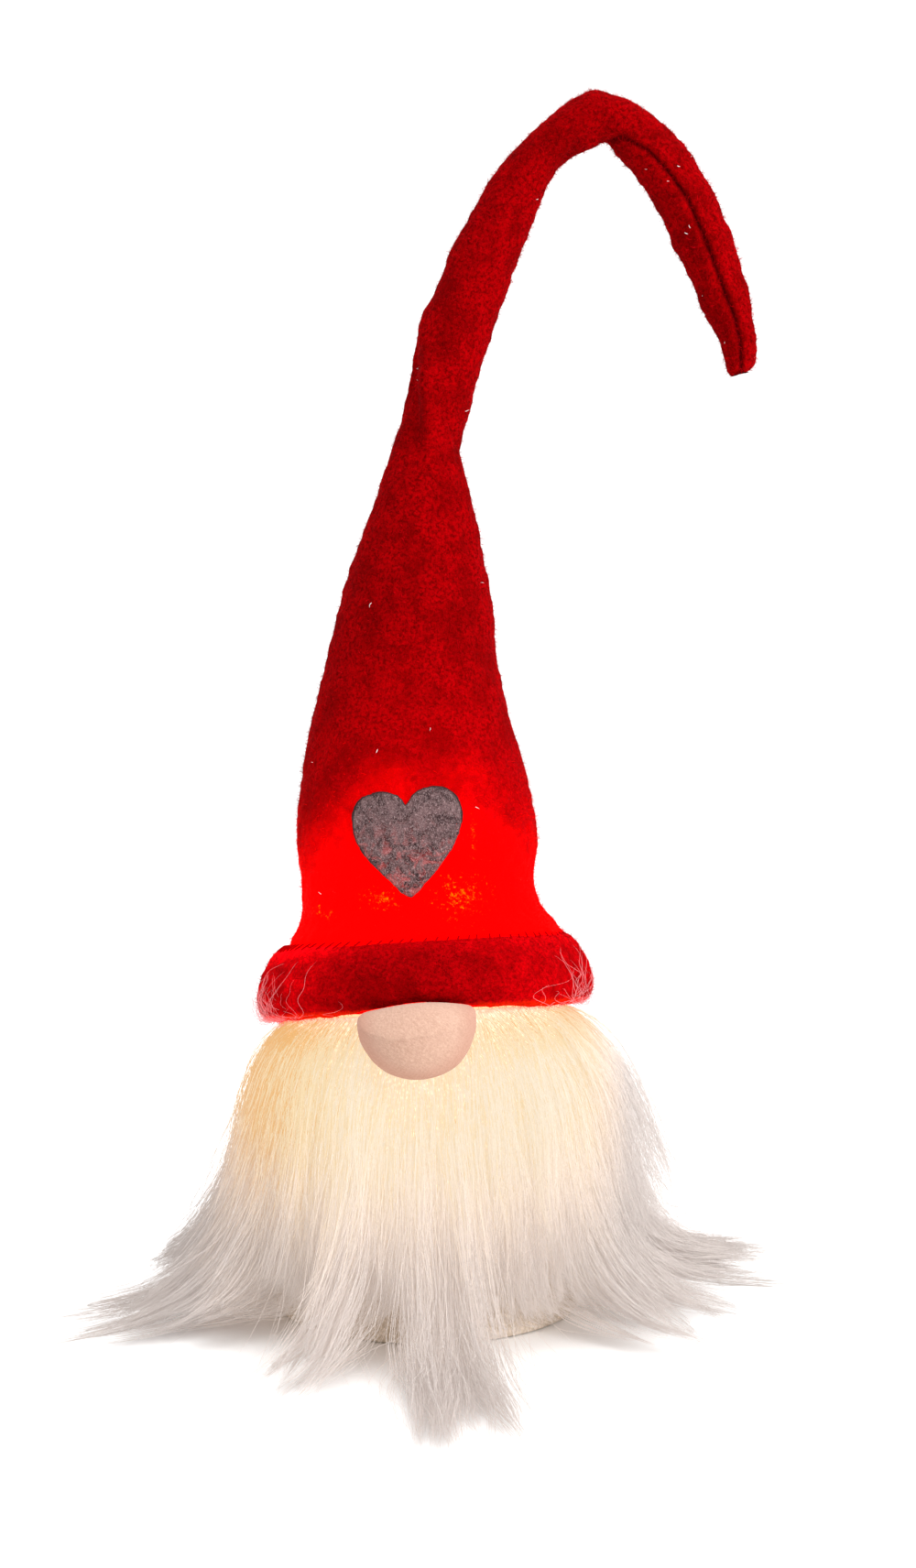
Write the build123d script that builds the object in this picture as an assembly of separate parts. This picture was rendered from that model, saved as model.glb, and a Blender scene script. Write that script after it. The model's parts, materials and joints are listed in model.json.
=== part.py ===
from build123d import *
import math
import os

# Lit felt gnome: a round plastic battery base, a translucent lamp body wrapped in long-pile
# fabric, a stuffed cloth nose and a tall felt hat on a bendable wire.
# Millimetres. +Z is up, the face looks along -Y, and the origin is the centre of the foot ring
# on the surface that the figure stands on.

# ---- Driving dimensions -------------------------------------------------------------------
gap = 0.3                    # running clearance between pieces that move
base_r = 54.0                # moulded battery base
base_bottom = 2.0            # underside of the base, on top of the foot ring
base_height = 21.0           # tub alone
lid_thick = 3.0
land_height = 2.0            # raised land on the lid that centres the lamp body
wall = 2.2                   # moulded wall
floor_thick = 3.2            # underside of the tub
foot_outer_r = 52.0
foot_inner_r = 44.0
boss_count = 4               # lid screws and their bosses
boss_ring_r = 44.0
boss_r = 3.6
boss_bore_r = 1.3
lid_screw_r = 1.25
lid_screw_head_r = 2.9
lid_screw_length = 9.0
lid_recess = 1.8             # depth of lid left under a screw head

cell_r = 5.25                # AAA cell
cell_length = 43.5
cell_nub = 1.0
cell_pitch = 11.6
cell_count = 3
bay_length = 51.0            # battery bay inside
bay_width = 36.0
bay_top = 17.2
bay_wall = 1.6
door_length = 58.0
door_width = 40.0
door_thick = 1.8
door_clear = 0.35
hinge_pin_length = 1.8

switch_y = -33.0             # slide switch beside the battery bay
switch_travel = 4.0          # on, off and timer, 2 mm apart
switch_height = 6.0
lead_r = 0.55                # insulated leads
lead_x = 34.5                # where they rise to the board

led_count = 8
led_ring_r = 21.0
led_r = 2.5
board_r = 30.0
board_thick = 1.6
board_post_count = 3         # posts and screws that hold the board over the lid
board_post_ring_r = 26.0
board_post_height = 2.0
board_screw_r = 0.95
board_screw_head_r = 2.2
board_screw_length = 5.0
shield_r = 44.0              # white disc over the board
shield_gap = 3.0
shield_thick = 1.0

lamp_r = 50.0                # translucent lamp body
lamp_wall = 1.6
lamp_top = 186.0

felt = 2.5                   # hat felt
filling_slack = 0.1          # filling packed against the cone
tail_slack = 1.7             # looser filling in the tail, which bends
cone_foot_r = 50.4           # felt cone inside the brim, at its lower and upper edge
cone_brim_r = 50.2
cuff_height = 22.0           # turned-up brim
cuff_thick = 11.0
cuff_outer_r = 62.5
brim_z = 121.8               # brim centre, over the lamp axis
brim_x = -1.0
brim_back_tilt = 10.0        # the face side of the brim is higher
brim_side_tilt = 3.5         # and so is its +X side

nose_r = 20.8
nose_cover = 1.5
nose_centre = (-2.0, -68.0, 117.5)

heart_width = 39.0
heart_height = 40.0
heart_thick = 1.6
heart_centre = (-6.3, 180.0)
heart_turn = 4.0

wire_r = 0.9                 # bendable wire in the hat
pile_floor = 0.6             # the pile hangs just clear of the floor
backing_r = 55.0             # knitted backing of the pile fabric, inside
backing_thick = 2.0
front_arc = 200.0            # the long pile covers the face side, the short pile the rest
front_foot_r = 99.0          # reach of the long pile on the floor
back_foot_r = 94.0
# Locks that lie on the floor: root (x, y), end (x, y), width and height at the root and at the end.
tufts = [
    ((0, -70), (8, -162), (58, 24), (14, 4)),
    ((-30, -66), (-46, -116), (30, 18), (10, 4)),
    ((-66, -30), (-130, -46), (38, 22), (12, 4)),
    ((40, -66), (62, -108), (34, 18), (10, 4)),
    ((68, -22), (134, -18), (38, 22), (12, 4)),
]

neck = Vector(0.5, 13.0, 322.0)      # where the tail bends above the cone
neck_ball_r = 12.0
crook = Vector(64.0, 4.0, 438.5)     # where the tail bends over at the top
crook_ball_r = 9.6

# Centre line and radius of the felt, from the brim to the neck, over and down to the tip.
cone_line = [
    (-2.5, 3.5, 151.0, 44.4),
    (-3.8, 7.0, 177.5, 45.2),
    (-4.8, 9.5, 198.0, 42.3),
    (-6.1, 11.5, 218.6, 37.4),
    (-5.9, 12.5, 239.0, 32.4),
    (-4.4, 13.0, 259.4, 29.2),
    (-3.0, 13.0, 279.7, 24.4),
    (-1.3, 13.0, 300.0, 18.6),
    (-0.8, 13.0, 313.6, 14.9),
]
mid_line = [
    (0.5, 13.0, 322.0, 10.6),
    (3.1, 13.0, 333.4, 11.9),
    (6.5, 12.5, 346.7, 12.8),
    (11.0, 11.5, 365.0, 13.6),
    (19.6, 10.0, 386.5, 12.5),
    (28.5, 8.0, 406.3, 11.3),
    (35.6, 6.5, 419.5, 10.2),
    (45.0, 5.0, 431.0, 9.8),
]
tip_line = [
    (64.0, 4.0, 438.5, 8.2),
    (83.1, 1.5, 426.1, 9.9),
    (95.9, -1.5, 406.3, 10.3),
    (101.4, -3.0, 393.1, 9.9),
    (106.2, -4.5, 379.9, 9.0),
    (110.7, -6.0, 366.7, 7.8),
    (114.5, -7.0, 353.4, 5.2),
]
tip_round_r = 4.8


# ---- Helpers ------------------------------------------------------------------------------
def save(name, shape):
    """Writes one named piece."""
    export_step(shape, f"parts/{name}.step")


def group(solids):
    """Several separate solids that share one node."""
    return Compound(children=list(solids))


def post(x, y, z0, z1, r):
    """Upright cylinder from z0 to z1."""
    return Pos(x, y, (z0 + z1) / 2) * Cylinder(r, z1 - z0)


def block(x0, x1, y0, y1, z0, z1):
    """Box between two corners."""
    return Pos((x0 + x1) / 2, (y0 + y1) / 2, (z0 + z1) / 2) * Box(x1 - x0, y1 - y0, z1 - z0)


def ring_places(count, radius, start=0.0):
    """Points evenly spaced on a circle."""
    angles = [math.radians(start + 360 * i / count) for i in range(count)]
    return [(radius * math.cos(a), radius * math.sin(a)) for a in angles]


def directions(line):
    """Direction of a centre line at each of its stations."""
    points = [Vector(*station[:3]) for station in line]
    ahead = points[1:] + [points[-1]]
    behind = [points[0]] + points[:-1]
    return [(a - b).normalized() for a, b in zip(ahead, behind)]


def tube(line, shrink=0.0):
    """Round tube through a centre line's stations, square to it at each."""
    sections = []
    for (x, y, z, r), way in zip(line, directions(line)):
        sections.append(Plane(origin=(x, y, z), z_dir=way) * Circle(r - shrink))
    return loft(sections)


def turned(points):
    """Solid of revolution about Z from a closed outline of (radius, z)."""
    return revolve(make_face(Plane.XZ * Polyline(*points, close=True)), Axis.Z)


def rod(points, r):
    """Wire of radius r through points, with the corners rounded by balls."""
    solid = Pos(*points[0]) * Sphere(r)
    for a, b in zip(points, points[1:]):
        a, b = Vector(*a), Vector(*b)
        along = Plane(origin=(a + b) * 0.5, z_dir=b - a)
        solid += along * Cylinder(r, (b - a).length)
        solid += Pos(*b) * Sphere(r)
    return solid


# ---- Brim frame ---------------------------------------------------------------------------
brim_up = Vector(0, 0, 1).rotate(Axis.X, -brim_back_tilt).rotate(Axis.Y, -brim_side_tilt)
brim_plane = Plane(origin=(brim_x, 0, brim_z), x_dir=(1, 0, math.tan(math.radians(brim_side_tilt))),
                   z_dir=brim_up)


def below_brim(drop):
    """Everything lower than the turned-up brim's lower edge by drop."""
    depth = 400
    return brim_plane.offset(-cuff_height / 2 - drop - depth / 2) * Box(depth, depth, depth)


# ---- Base ---------------------------------------------------------------------------------
lid_bottom = base_bottom + base_height
lid_top = lid_bottom + lid_thick
floor_top = base_bottom + floor_thick
land_top = lid_top + land_height
cell_z = bay_top - cell_r - 0.2
boss_places = ring_places(boss_count, boss_ring_r, 45.0)
board_post_places = ring_places(board_post_count, board_post_ring_r, 90.0)


def foot_ring():
    ring = post(0, 0, 0, base_bottom, foot_outer_r)
    ring -= post(0, 0, 0, base_bottom, foot_inner_r)
    return ring


def base_tub():
    half_l, half_w = bay_length / 2, bay_width / 2
    tub = post(0, 0, base_bottom, lid_bottom, base_r)
    tub -= post(0, 0, floor_top, lid_bottom, base_r - wall)
    outer_l, outer_w = half_l + bay_wall, half_w + bay_wall
    tub += block(-outer_l, outer_l, -outer_w, outer_w, floor_top, bay_top + bay_wall)
    for x, y in boss_places:
        tub += post(x, y, floor_top, lid_bottom, boss_r)
        tub -= post(x, y, floor_top + 4, lid_bottom, boss_bore_r)
    # Battery bay, with a step all round that the door closes.
    tub -= block(-half_l, half_l, -half_w, half_w, base_bottom, bay_top)
    door_l, door_w = door_length / 2 + door_clear, door_width / 2 + door_clear
    step = base_bottom + door_thick + gap
    tub -= block(-door_l, door_l, -door_w, door_w, base_bottom, step)
    pin_reach = door_w + hinge_pin_length
    tub -= block(-door_l, -door_l + 2.6, -pin_reach, pin_reach, base_bottom, step)
    # Finger recess at the door's free end, and the switch window.
    tub -= Pos(door_length / 2 + 3, 0, base_bottom) * Sphere(5)
    tub -= block(-4.6, 4.6, switch_y - 1.7, switch_y + 1.7, base_bottom, floor_top)
    # Slot for the two leads out of the bay.
    tub -= block(half_l - 1, half_l + 3, 12.0, 15.0, 12.0, 14.6)
    return tub


def battery_door():
    """Snap-in door: its round edge and two pins turn in the tub, and its other end drops open."""
    half_l, half_w = door_length / 2, door_width / 2
    pivot_x = -half_l + door_thick / 2
    door = block(pivot_x, half_l, -half_w, half_w, base_bottom, base_bottom + door_thick)
    edge = Cylinder(door_thick / 2, door_width + 2 * hinge_pin_length)
    door += Pos(pivot_x, 0, base_bottom + door_thick / 2) * Rot(90, 0, 0) * edge
    # Grip grooves on the outside, and a rib inside that steadies the cells.
    for i in range(5):
        x = 12 + 2.4 * i
        door -= block(x - 0.5, x + 0.5, -9, 9, base_bottom, base_bottom + 0.5)
    rib_top = base_bottom + door_thick + 1.2
    door += block(-4, 4, -half_w + 4, half_w - 4, base_bottom + door_thick, rib_top)
    return door


def battery_cell(index):
    side = 1 if index % 2 == 0 else -1
    y = (index - (cell_count - 1) / 2) * cell_pitch
    body = Rot(0, 90, 0) * Cylinder(cell_r, cell_length)
    body = fillet(body.edges(), 0.5)
    nub = Pos(side * (cell_length + cell_nub) / 2, 0, 0) * Rot(0, 90, 0) * Cylinder(1.9, cell_nub)
    return Pos(-side * cell_nub / 2, y, cell_z) * (body + nub)


def battery_contacts():
    """Sheet contacts at both ends of every cell: flat at the nub, sprung at the flat end."""
    plates = []
    z = cell_z
    sheet = 0.4
    for index in range(cell_count):
        side = 1 if index % 2 == 0 else -1
        y = (index - (cell_count - 1) / 2) * cell_pitch
        wall_x = bay_length / 2
        cell_end = cell_length / 2 + cell_nub / 2
        flat = block(wall_x - sheet, wall_x, y - 4, y + 4, z - 4, z + 4)
        reach = wall_x - sheet - cell_end
        flat += block(wall_x - sheet - reach, wall_x - sheet, y - 1.2, y + 1.2, z - 1.2, z + 1.2)
        bowed = make_face(Plane.XZ * Polyline(
            (wall_x, z - 4.5), (wall_x, z + 4.5), (wall_x - sheet, z + 4.5),
            (cell_end, z + 0.8), (cell_end, z - 0.8), (wall_x - sheet, z - 4.5), close=True))
        bowed = Pos(0, y + 3, 0) * extrude(bowed, 6, dir=(0, -1, 0))
        ends = (flat, bowed) if side > 0 else (bowed, flat)
        plates.append(ends[0])
        plates.append(mirror(ends[1], Plane.YZ))
    return group(plates)


def switch_body():
    switch_top = floor_top + switch_height
    body = block(-7, 7, switch_y - 3.4, switch_y + 3.4, floor_top, switch_top)
    body -= block(-5.4, 5.4, switch_y - 2.3, switch_y + 2.3, floor_top, floor_top + 1.9)
    for i in range(3):
        x = -3 + 3 * i
        body += block(x - 0.4, x + 0.4, switch_y - 0.3, switch_y + 0.3, switch_top, switch_top + 3)
    return body


def switch_slider():
    """Knob at its ON end; it slides towards +X through OFF to TIMER."""
    x = -switch_travel / 2
    slider = block(x - 2.9, x + 2.9, switch_y - 2.0, switch_y + 2.0, floor_top + gap, floor_top + 1.5)
    slider += block(x - 1.5, x + 1.5, switch_y - 1.3, switch_y + 1.3, 0.9, floor_top + gap)
    for i in range(3):
        rib = x - 0.9 + 0.9 * i
        slider -= block(rib - 0.15, rib + 0.15, switch_y - 1.3, switch_y + 1.3, 0.9, 1.2)
    return slider


def base_lid():
    lid = post(0, 0, lid_bottom, lid_top, base_r)
    lid += post(0, 0, lid_top, land_top, lamp_r - lamp_wall - 0.2)
    for x, y in boss_places:
        lid -= post(x, y, lid_bottom, land_top, lid_screw_r + 0.45)
        lid -= post(x, y, lid_bottom + lid_recess, land_top, lid_screw_head_r + 0.5)
    for x, y in board_post_places:
        lid += post(x, y, land_top, board_bottom, 2.6)
        lid -= post(x, y, lid_bottom + 0.6, board_bottom, board_screw_r + 0.1)
    # Opening for the two leads.
    lid -= block(lead_x - 3.5, lead_x + 3.5, -5, 5, lid_bottom, land_top)
    return lid


def screw(x, y, seat, shaft_r, shaft_length, head_r, head_height):
    """Pan-head screw pointing down, with a cross recess."""
    body = post(x, y, seat - shaft_length, seat, shaft_r)
    head = Pos(x, y, seat + head_height / 2) * Cylinder(head_r, head_height)
    head = fillet(head.edges().group_by(Axis.Z)[-1], head_height * 0.45)
    body += head
    deep = seat + head_height * 0.4
    body -= block(x - 0.25, x + 0.25, y - head_r * 0.55, y + head_r * 0.55, deep, seat + head_height)
    body -= block(x - head_r * 0.55, x + head_r * 0.55, y - 0.25, y + 0.25, deep, seat + head_height)
    return body


def lid_screws():
    seat = lid_bottom + lid_recess
    return group(screw(x, y, seat, lid_screw_r, lid_screw_length, lid_screw_head_r, 2.0) for x, y in boss_places)


board_bottom = land_top + board_post_height
board_top = board_bottom + board_thick


def board_screws():
    return group(screw(x, y, board_top, board_screw_r, board_screw_length, board_screw_head_r, 1.4)
                 for x, y in board_post_places)


def circuit_board():
    board = post(0, 0, board_bottom, board_top, board_r)
    for x, y in board_post_places:
        board -= post(x, y, board_bottom, board_top, board_screw_r + 0.15)
    return board


def leds():
    lamps = []
    for x, y in ring_places(led_count, led_ring_r, 22.5):
        lamp = post(x, y, board_top, board_top + 1.0, led_r + 0.4)
        lamp += post(x, y, board_top + 1.0, board_top + 6.0, led_r)
        lamp += Pos(x, y, board_top + 6.0) * Sphere(led_r)
        lamps.append(lamp)
    return group(lamps)


def timer_chip():
    chip = block(-2.5, 2.5, -2.0, 2.0, board_top + 0.1, board_top + 1.6)
    chip = chamfer(chip.edges().group_by(Axis.Z)[-1], 0.25)
    for side in (-1, 1):
        for i in range(4):
            x = -1.9 + 1.27 * i
            y = side * 2.0
            chip += block(x - 0.2, x + 0.2, min(y, y + side), max(y, y + side),
                          board_top, board_top + 0.5)
    return chip


def resistors():
    """One small block resistor beside each lamp."""
    places = ring_places(led_count, 13.0, 22.5)
    return group(block(x - 1.0, x + 1.0, y - 0.6, y + 0.6, board_top, board_top + 0.6) for x, y in places)


def light_shield():
    """White disc over the board that throws the light up, on three pegs."""
    low = board_top + shield_gap
    disc = post(0, 0, low, low + shield_thick, shield_r)
    for x, y in ring_places(led_count, led_ring_r, 22.5):
        disc -= post(x, y, low, low + shield_thick, led_r + 0.4)
    for x, y in ring_places(3, 36.0, 30.0):
        disc += post(x, y, land_top, low, 2.0)
    return disc


def power_leads():
    """Red and black insulated leads from the battery bay up to the board."""
    start_x = bay_length / 2 + 1.0
    start_z = 13.3
    leads = []
    for start_y, side in ((12.9, -1), (14.1, 1)):
        rise_y = side * 2.0
        leads.append(rod([
            (start_x, start_y, start_z),
            (lead_x, start_y, start_z),
            (lead_x, rise_y, lid_bottom - 3.5),
            (lead_x, rise_y, board_bottom - 1.4),
            (lead_x - 6.0, rise_y, board_bottom - lead_r),
        ], lead_r))
    return group(leads)


# ---- Lamp body ----------------------------------------------------------------------------
def lamp_outline(inset):
    """Half outline of the lamp body; inset makes the inner wall."""
    low = lid_top
    return [
        (lamp_r - inset, low),
        (lamp_r - inset, 76.0),
        (46.5 - inset, 92.0),
        (41.0 - inset, 112.0),
        (37.0 - inset, 132.0),
        (31.0 - inset, 158.0),
        (22.0 - inset * 1.05, 174.0 - inset * 0.4),
        (12.0 - inset * 0.6, 182.0 - inset * 0.8),
        (0.0, lamp_top - inset),
    ]


def lamp_body():
    outer = turned(lamp_outline(0.0) + [(0.0, lid_top)])
    inner = turned(lamp_outline(lamp_wall) + [(0.0, lid_top)])
    foot = post(0, 0, lid_top, land_top, base_r - 1.0) - post(0, 0, lid_top, land_top, lamp_r - 0.5)
    return outer - inner + foot


def wire_socket():
    """Cup bonded on top of the lamp body; the hat wire stands in it."""
    cup = post(0, 0, lamp_top - 3.0, lamp_top + 9.0, 6.0)
    cup -= turned(lamp_outline(0.0) + [(0.0, lid_top)])
    cup -= post(0, 0, lamp_top + 1.5, lamp_top + 9.0, wire_r + 0.1)
    return cup


# ---- Pile fabric --------------------------------------------------------------------------
backing_outer = backing_r + backing_thick


def fur_backing():
    """Knitted sleeve that carries the pile, drawn in under the brim."""
    outline = [
        (backing_r, pile_floor), (backing_outer, pile_floor), (backing_outer, 84.0),
        (52.5, 104.0), (49.5, 130.0), (47.5, 130.0), (50.5, 104.0), (backing_r, 84.0),
    ]
    return turned(outline) & below_brim(gap)


def pile_section(foot_r):
    """Section of the pile: drawn in under the brim, full at the cheeks, flared at the floor."""
    low = (backing_outer + 0.2, pile_floor)
    foot, top = (foot_r, pile_floor), (57.0, 124.0)
    outside = Spline(foot, (88.0, 26.0), (79.0, 48.0), (76.5, 80.0), (70.0, 101.0), top)
    inside = Polyline(top, (50.2, 124.0), (52.7, 104.0), (backing_outer + 0.2, 84.0), low, foot)
    return make_face(Plane.XZ * (outside + inside))


def pile(foot_r, arc, start):
    return (Rot(0, 0, start) * revolve(pile_section(foot_r), Axis.Z, arc)) & below_brim(0.4)


def tuft(root, end, root_size, end_size):
    """Lock of pile that lies on the floor, from its root to its narrow end."""
    root, end = Vector(*root, pile_floor), Vector(*end, pile_floor)
    way = (end - root).normalized()
    sections = []
    for spot, (wide, high) in ((root, root_size), (end, end_size)):
        plane = Plane(origin=spot + Vector(0, 0, high / 2), x_dir=(-way.Y, way.X, 0), z_dir=way)
        sections.append(plane * Rectangle(wide, high))
    return loft(sections)


def nose_room(grow):
    return Pos(*nose_centre) * Sphere(nose_r + grow)


def beard_fur():
    beard = pile(front_foot_r, front_arc, 270 - front_arc / 2)
    for lock in tufts:
        beard += tuft(*lock)
    return beard - nose_room(gap)


def back_fur():
    arc = 360 - front_arc - 0.4
    return pile(back_foot_r, arc, 270 + front_arc / 2 + 0.2)


# ---- Nose ---------------------------------------------------------------------------------
def nose_solid(inset):
    """Stuffed ball, flat where the brim presses on it and where it meets the backing."""
    ball = Pos(*nose_centre) * Sphere(nose_r - inset)
    ball &= below_brim(0.4 + inset)
    return ball - post(0, 0, 60, 160, backing_outer + 0.4 + inset)


# ---- Hat ----------------------------------------------------------------------------------
def brim_station(up, r):
    centre = Vector(brim_x, 0, brim_z) + brim_up * up
    return Plane(origin=centre, z_dir=brim_up) * Circle(r)


def cone(shrink):
    """Felt cone from the brim to the neck, out to the outer face less shrink."""
    half = cuff_height / 2
    sections = [brim_station(-half, cone_foot_r - shrink), brim_station(half, cone_brim_r - shrink)]
    for x, y, z, r in cone_line:
        lean = Vector(0, 0, 1) if z > 160 else (brim_up + Vector(0, 0, 1)).normalized()
        sections.append(Plane(origin=(x, y, z), z_dir=lean) * Circle(r - shrink))
    return loft(sections, ruled=True)


def hat_cone():
    return cone(0.0) - cone(felt) - Pos(*neck) * Sphere(neck_ball_r + gap)


def brim_cuff():
    """Edge of the hat turned up twice: a soft roll round the cone."""
    mid_r = cuff_outer_r - cuff_thick / 2
    roll = RectangleRounded(cuff_thick, cuff_height, cuff_thick / 2 - 0.2)
    section = Plane(origin=(mid_r, 0, 0), x_dir=(1, 0, 0), z_dir=(0, -1, 0)) * roll
    ring = revolve(section, Axis.Z)
    return brim_plane * ring - cone(-0.2)


def heart_outline():
    """Heart from two round lobes and two arcs that meet at the lower tip."""
    w, h = heart_width / 2, heart_height
    lobe = w * 0.54
    left = ThreePointArc((0, h * 0.32), (-lobe, h * 0.5), (-w, h * 0.16))
    left_side = ThreePointArc((-w, h * 0.16), (-w * 0.62, -h * 0.2), (0, -h * 0.5))
    right_side = ThreePointArc((0, -h * 0.5), (w * 0.62, -h * 0.2), (w, h * 0.16))
    right = ThreePointArc((w, h * 0.16), (lobe, h * 0.5), (0, h * 0.32))
    return make_face([left, left_side, right_side, right])


def heart_patch():
    x, z = heart_centre
    face = Plane(origin=(x, 0, z), x_dir=(1, 0, 0), z_dir=(0, -1, 0)) * Rot(0, 0, heart_turn) * heart_outline()
    prism = extrude(face, 60)
    return prism & (cone(-heart_thick - 0.05) - cone(-0.05))


def tail_mid(shrink):
    shape = tube(mid_line, shrink) + Pos(*neck) * Sphere(neck_ball_r - shrink)
    # The last stretch runs straight to just short of the crook's ball.
    last = Vector(*mid_line[-1][:3])
    way = (crook - last).normalized()
    length = (crook - last).length - crook_ball_r - gap
    stub = Plane(origin=last + way * (length / 2 - 0.5), z_dir=way)
    return shape + stub * Cylinder(mid_line[-1][3] - shrink - 0.02, length + 1)


def tail_tip(shrink):
    shape = tube(tip_line, shrink) + Pos(*crook) * Sphere(crook_ball_r - shrink)
    return shape + Pos(*tip_line[-1][:3]) * Sphere(max(tip_round_r - shrink, 1.2))


def stuffing_cone():
    fill = cone(felt + filling_slack) & block(-80, 80, -80, 80, 192.0, 313.0)
    fill -= Pos(*neck) * Sphere(neck_ball_r + gap)
    fill -= turned(lamp_outline(-0.3) + [(0.0, lid_top)])
    fill -= post(0, 0, lamp_top - 4, lamp_top + 9.2, 6.2)
    return fill


# ---- Bendable wire ------------------------------------------------------------------------
wire_foot = Vector(0, 0, lamp_top + 2.6)
wire_low_top = neck - Vector(0, 0, neck_ball_r + 1.5)
mid_wire = [tuple(neck)] + [station[:3] for station in mid_line[2:]]
tip_wire = [tuple(crook)] + [station[:3] for station in tip_line[1:-1]]


def hat_wire_low(grow=0.0):
    return rod([tuple(wire_foot), (0.0, 0.0, lamp_top + 14), tuple(wire_low_top)], wire_r + grow)


def hat_wire_mid(grow=0.0):
    return rod(mid_wire, wire_r + grow)


def hat_wire_tip(grow=0.0):
    return rod(tip_wire, wire_r + grow)


# ---- Write every piece --------------------------------------------------------------------
os.makedirs("parts", exist_ok=True)

save("foot_ring", foot_ring())
save("base_tub", base_tub())
save("base_lid", base_lid())
save("lid_screws", lid_screws())
save("battery_door", battery_door())
for number in range(cell_count):
    save(f"battery_cell_{number + 1}", battery_cell(number))
save("battery_contacts", battery_contacts())
save("switch_body", switch_body())
save("switch_slider", switch_slider())
save("power_leads", power_leads())
save("circuit_board", circuit_board())
save("board_screws", board_screws())
save("leds", leds())
save("timer_chip", timer_chip())
save("resistors", resistors())
save("light_shield", light_shield())
save("lamp_body", lamp_body())
save("wire_socket", wire_socket())
save("fur_backing", fur_backing())
save("beard_fur", beard_fur())
save("back_fur", back_fur())
save("nose_cover", nose_solid(0.0) - nose_solid(nose_cover))
save("nose_filling", nose_solid(nose_cover + 0.05))
save("brim_cuff", brim_cuff())
save("heart_patch", heart_patch())
save("hat_cone", hat_cone())
save("stuffing_cone", stuffing_cone() - hat_wire_low(0.05))
save("hat_wire_low", hat_wire_low())
save("hat_mid", tail_mid(0.0) - tail_mid(felt))
save("stuffing_mid", tail_mid(felt + tail_slack) - hat_wire_mid(0.05))
save("hat_wire_mid", hat_wire_mid())
save("hat_tip", tail_tip(0.0) - tail_tip(felt))
save("stuffing_tip", tail_tip(felt + tail_slack) - hat_wire_tip(0.05))
save("hat_wire_tip", hat_wire_tip())
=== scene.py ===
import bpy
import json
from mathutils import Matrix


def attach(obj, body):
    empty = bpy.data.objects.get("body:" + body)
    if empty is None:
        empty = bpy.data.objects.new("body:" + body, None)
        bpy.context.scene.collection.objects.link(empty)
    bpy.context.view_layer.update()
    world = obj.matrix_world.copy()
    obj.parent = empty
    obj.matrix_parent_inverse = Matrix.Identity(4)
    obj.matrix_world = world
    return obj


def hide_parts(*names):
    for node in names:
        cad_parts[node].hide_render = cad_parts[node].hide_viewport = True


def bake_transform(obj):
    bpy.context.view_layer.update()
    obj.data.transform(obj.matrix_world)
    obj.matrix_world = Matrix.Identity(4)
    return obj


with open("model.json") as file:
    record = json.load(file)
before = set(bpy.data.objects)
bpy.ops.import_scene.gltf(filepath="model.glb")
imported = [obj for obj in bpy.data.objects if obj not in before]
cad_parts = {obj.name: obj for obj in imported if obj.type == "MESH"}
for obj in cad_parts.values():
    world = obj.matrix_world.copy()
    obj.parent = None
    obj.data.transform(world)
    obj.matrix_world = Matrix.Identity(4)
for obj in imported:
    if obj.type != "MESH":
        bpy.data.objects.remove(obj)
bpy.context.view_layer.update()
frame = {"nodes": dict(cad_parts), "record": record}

import json
import math

import bpy
import numpy as np
from mathutils import Vector, noise
from mathutils.bvhtree import BVHTree

# Lit felt gnome. The frame is in metres; every length below is in millimetres and MM turns it into metres.
MM = 0.001
SEED = 20261117


# ---- Meshes ---------------------------------------------------------------------------------
def link(name, mesh, materials, smooth=True):
    """Puts a mesh in the scene as an object of that name."""
    made = bpy.data.objects.new(name, mesh)
    bpy.context.scene.collection.objects.link(made)
    for material in materials:
        mesh.materials.append(material)
    mesh.polygons.foreach_set("use_smooth", np.full(len(mesh.polygons), smooth))
    return made


def mesh_of(name, points, *face_sets):
    """Mesh from points in millimetres and arrays of faces, each with its own number of corners."""
    mesh = bpy.data.meshes.new(name)
    mesh.vertices.add(len(points))
    mesh.vertices.foreach_set("co", (np.asarray(points, float) * MM).astype(np.float32).ravel())
    corners = np.concatenate([np.asarray(f).ravel() for f in face_sets]).astype(np.int32)
    sizes = np.concatenate([np.full(len(f), np.asarray(f).shape[1]) for f in face_sets])
    mesh.loops.add(len(corners))
    mesh.loops.foreach_set("vertex_index", corners)
    mesh.polygons.add(len(sizes))
    mesh.polygons.foreach_set("loop_start", np.concatenate([[0], np.cumsum(sizes)[:-1]]).astype(np.int32))
    mesh.update(calc_edges=True)
    mesh.validate()
    return mesh


def grid_faces(rows, around, closed=True, first=0):
    """Quads of a grid of points, row after row, joined round each row."""
    a = np.arange(rows - 1)[:, None] * around
    b = np.arange(around if closed else around - 1)[None, :]
    c = (b + 1) % around
    return first + np.stack([a + b, a + c, a + around + c, a + around + b], axis=-1).reshape(-1, 4)


def row_ids(around, row=0):
    """Numbers of the points of one row of a closed grid, and of the point after each."""
    ids = np.arange(around)
    return row * around + ids, row * around + (ids + 1) % around


def loop_faces(rows, around):
    """Quads of a closed grid whose last row also joins the first."""
    (first, first_next), (last, last_next) = row_ids(around), row_ids(around, rows - 1)
    return np.concatenate([grid_faces(rows, around), np.stack([last, last_next, first_next, first], axis=-1)])


def capped_mesh(name, grid, ends):
    """Mesh of a closed grid, shut by a point at each end."""
    rows, around, _ = grid.shape
    points = np.concatenate([grid.reshape(-1, 3), ends])
    (first, first_next), (last, last_next) = row_ids(around), row_ids(around, rows - 1)
    near = np.stack([np.full(around, len(points) - 2), first_next, first], axis=-1)
    far = np.stack([np.full(around, len(points) - 1), last, last_next], axis=-1)
    return mesh_of(name, points, grid_faces(rows, around), near, far)


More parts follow.
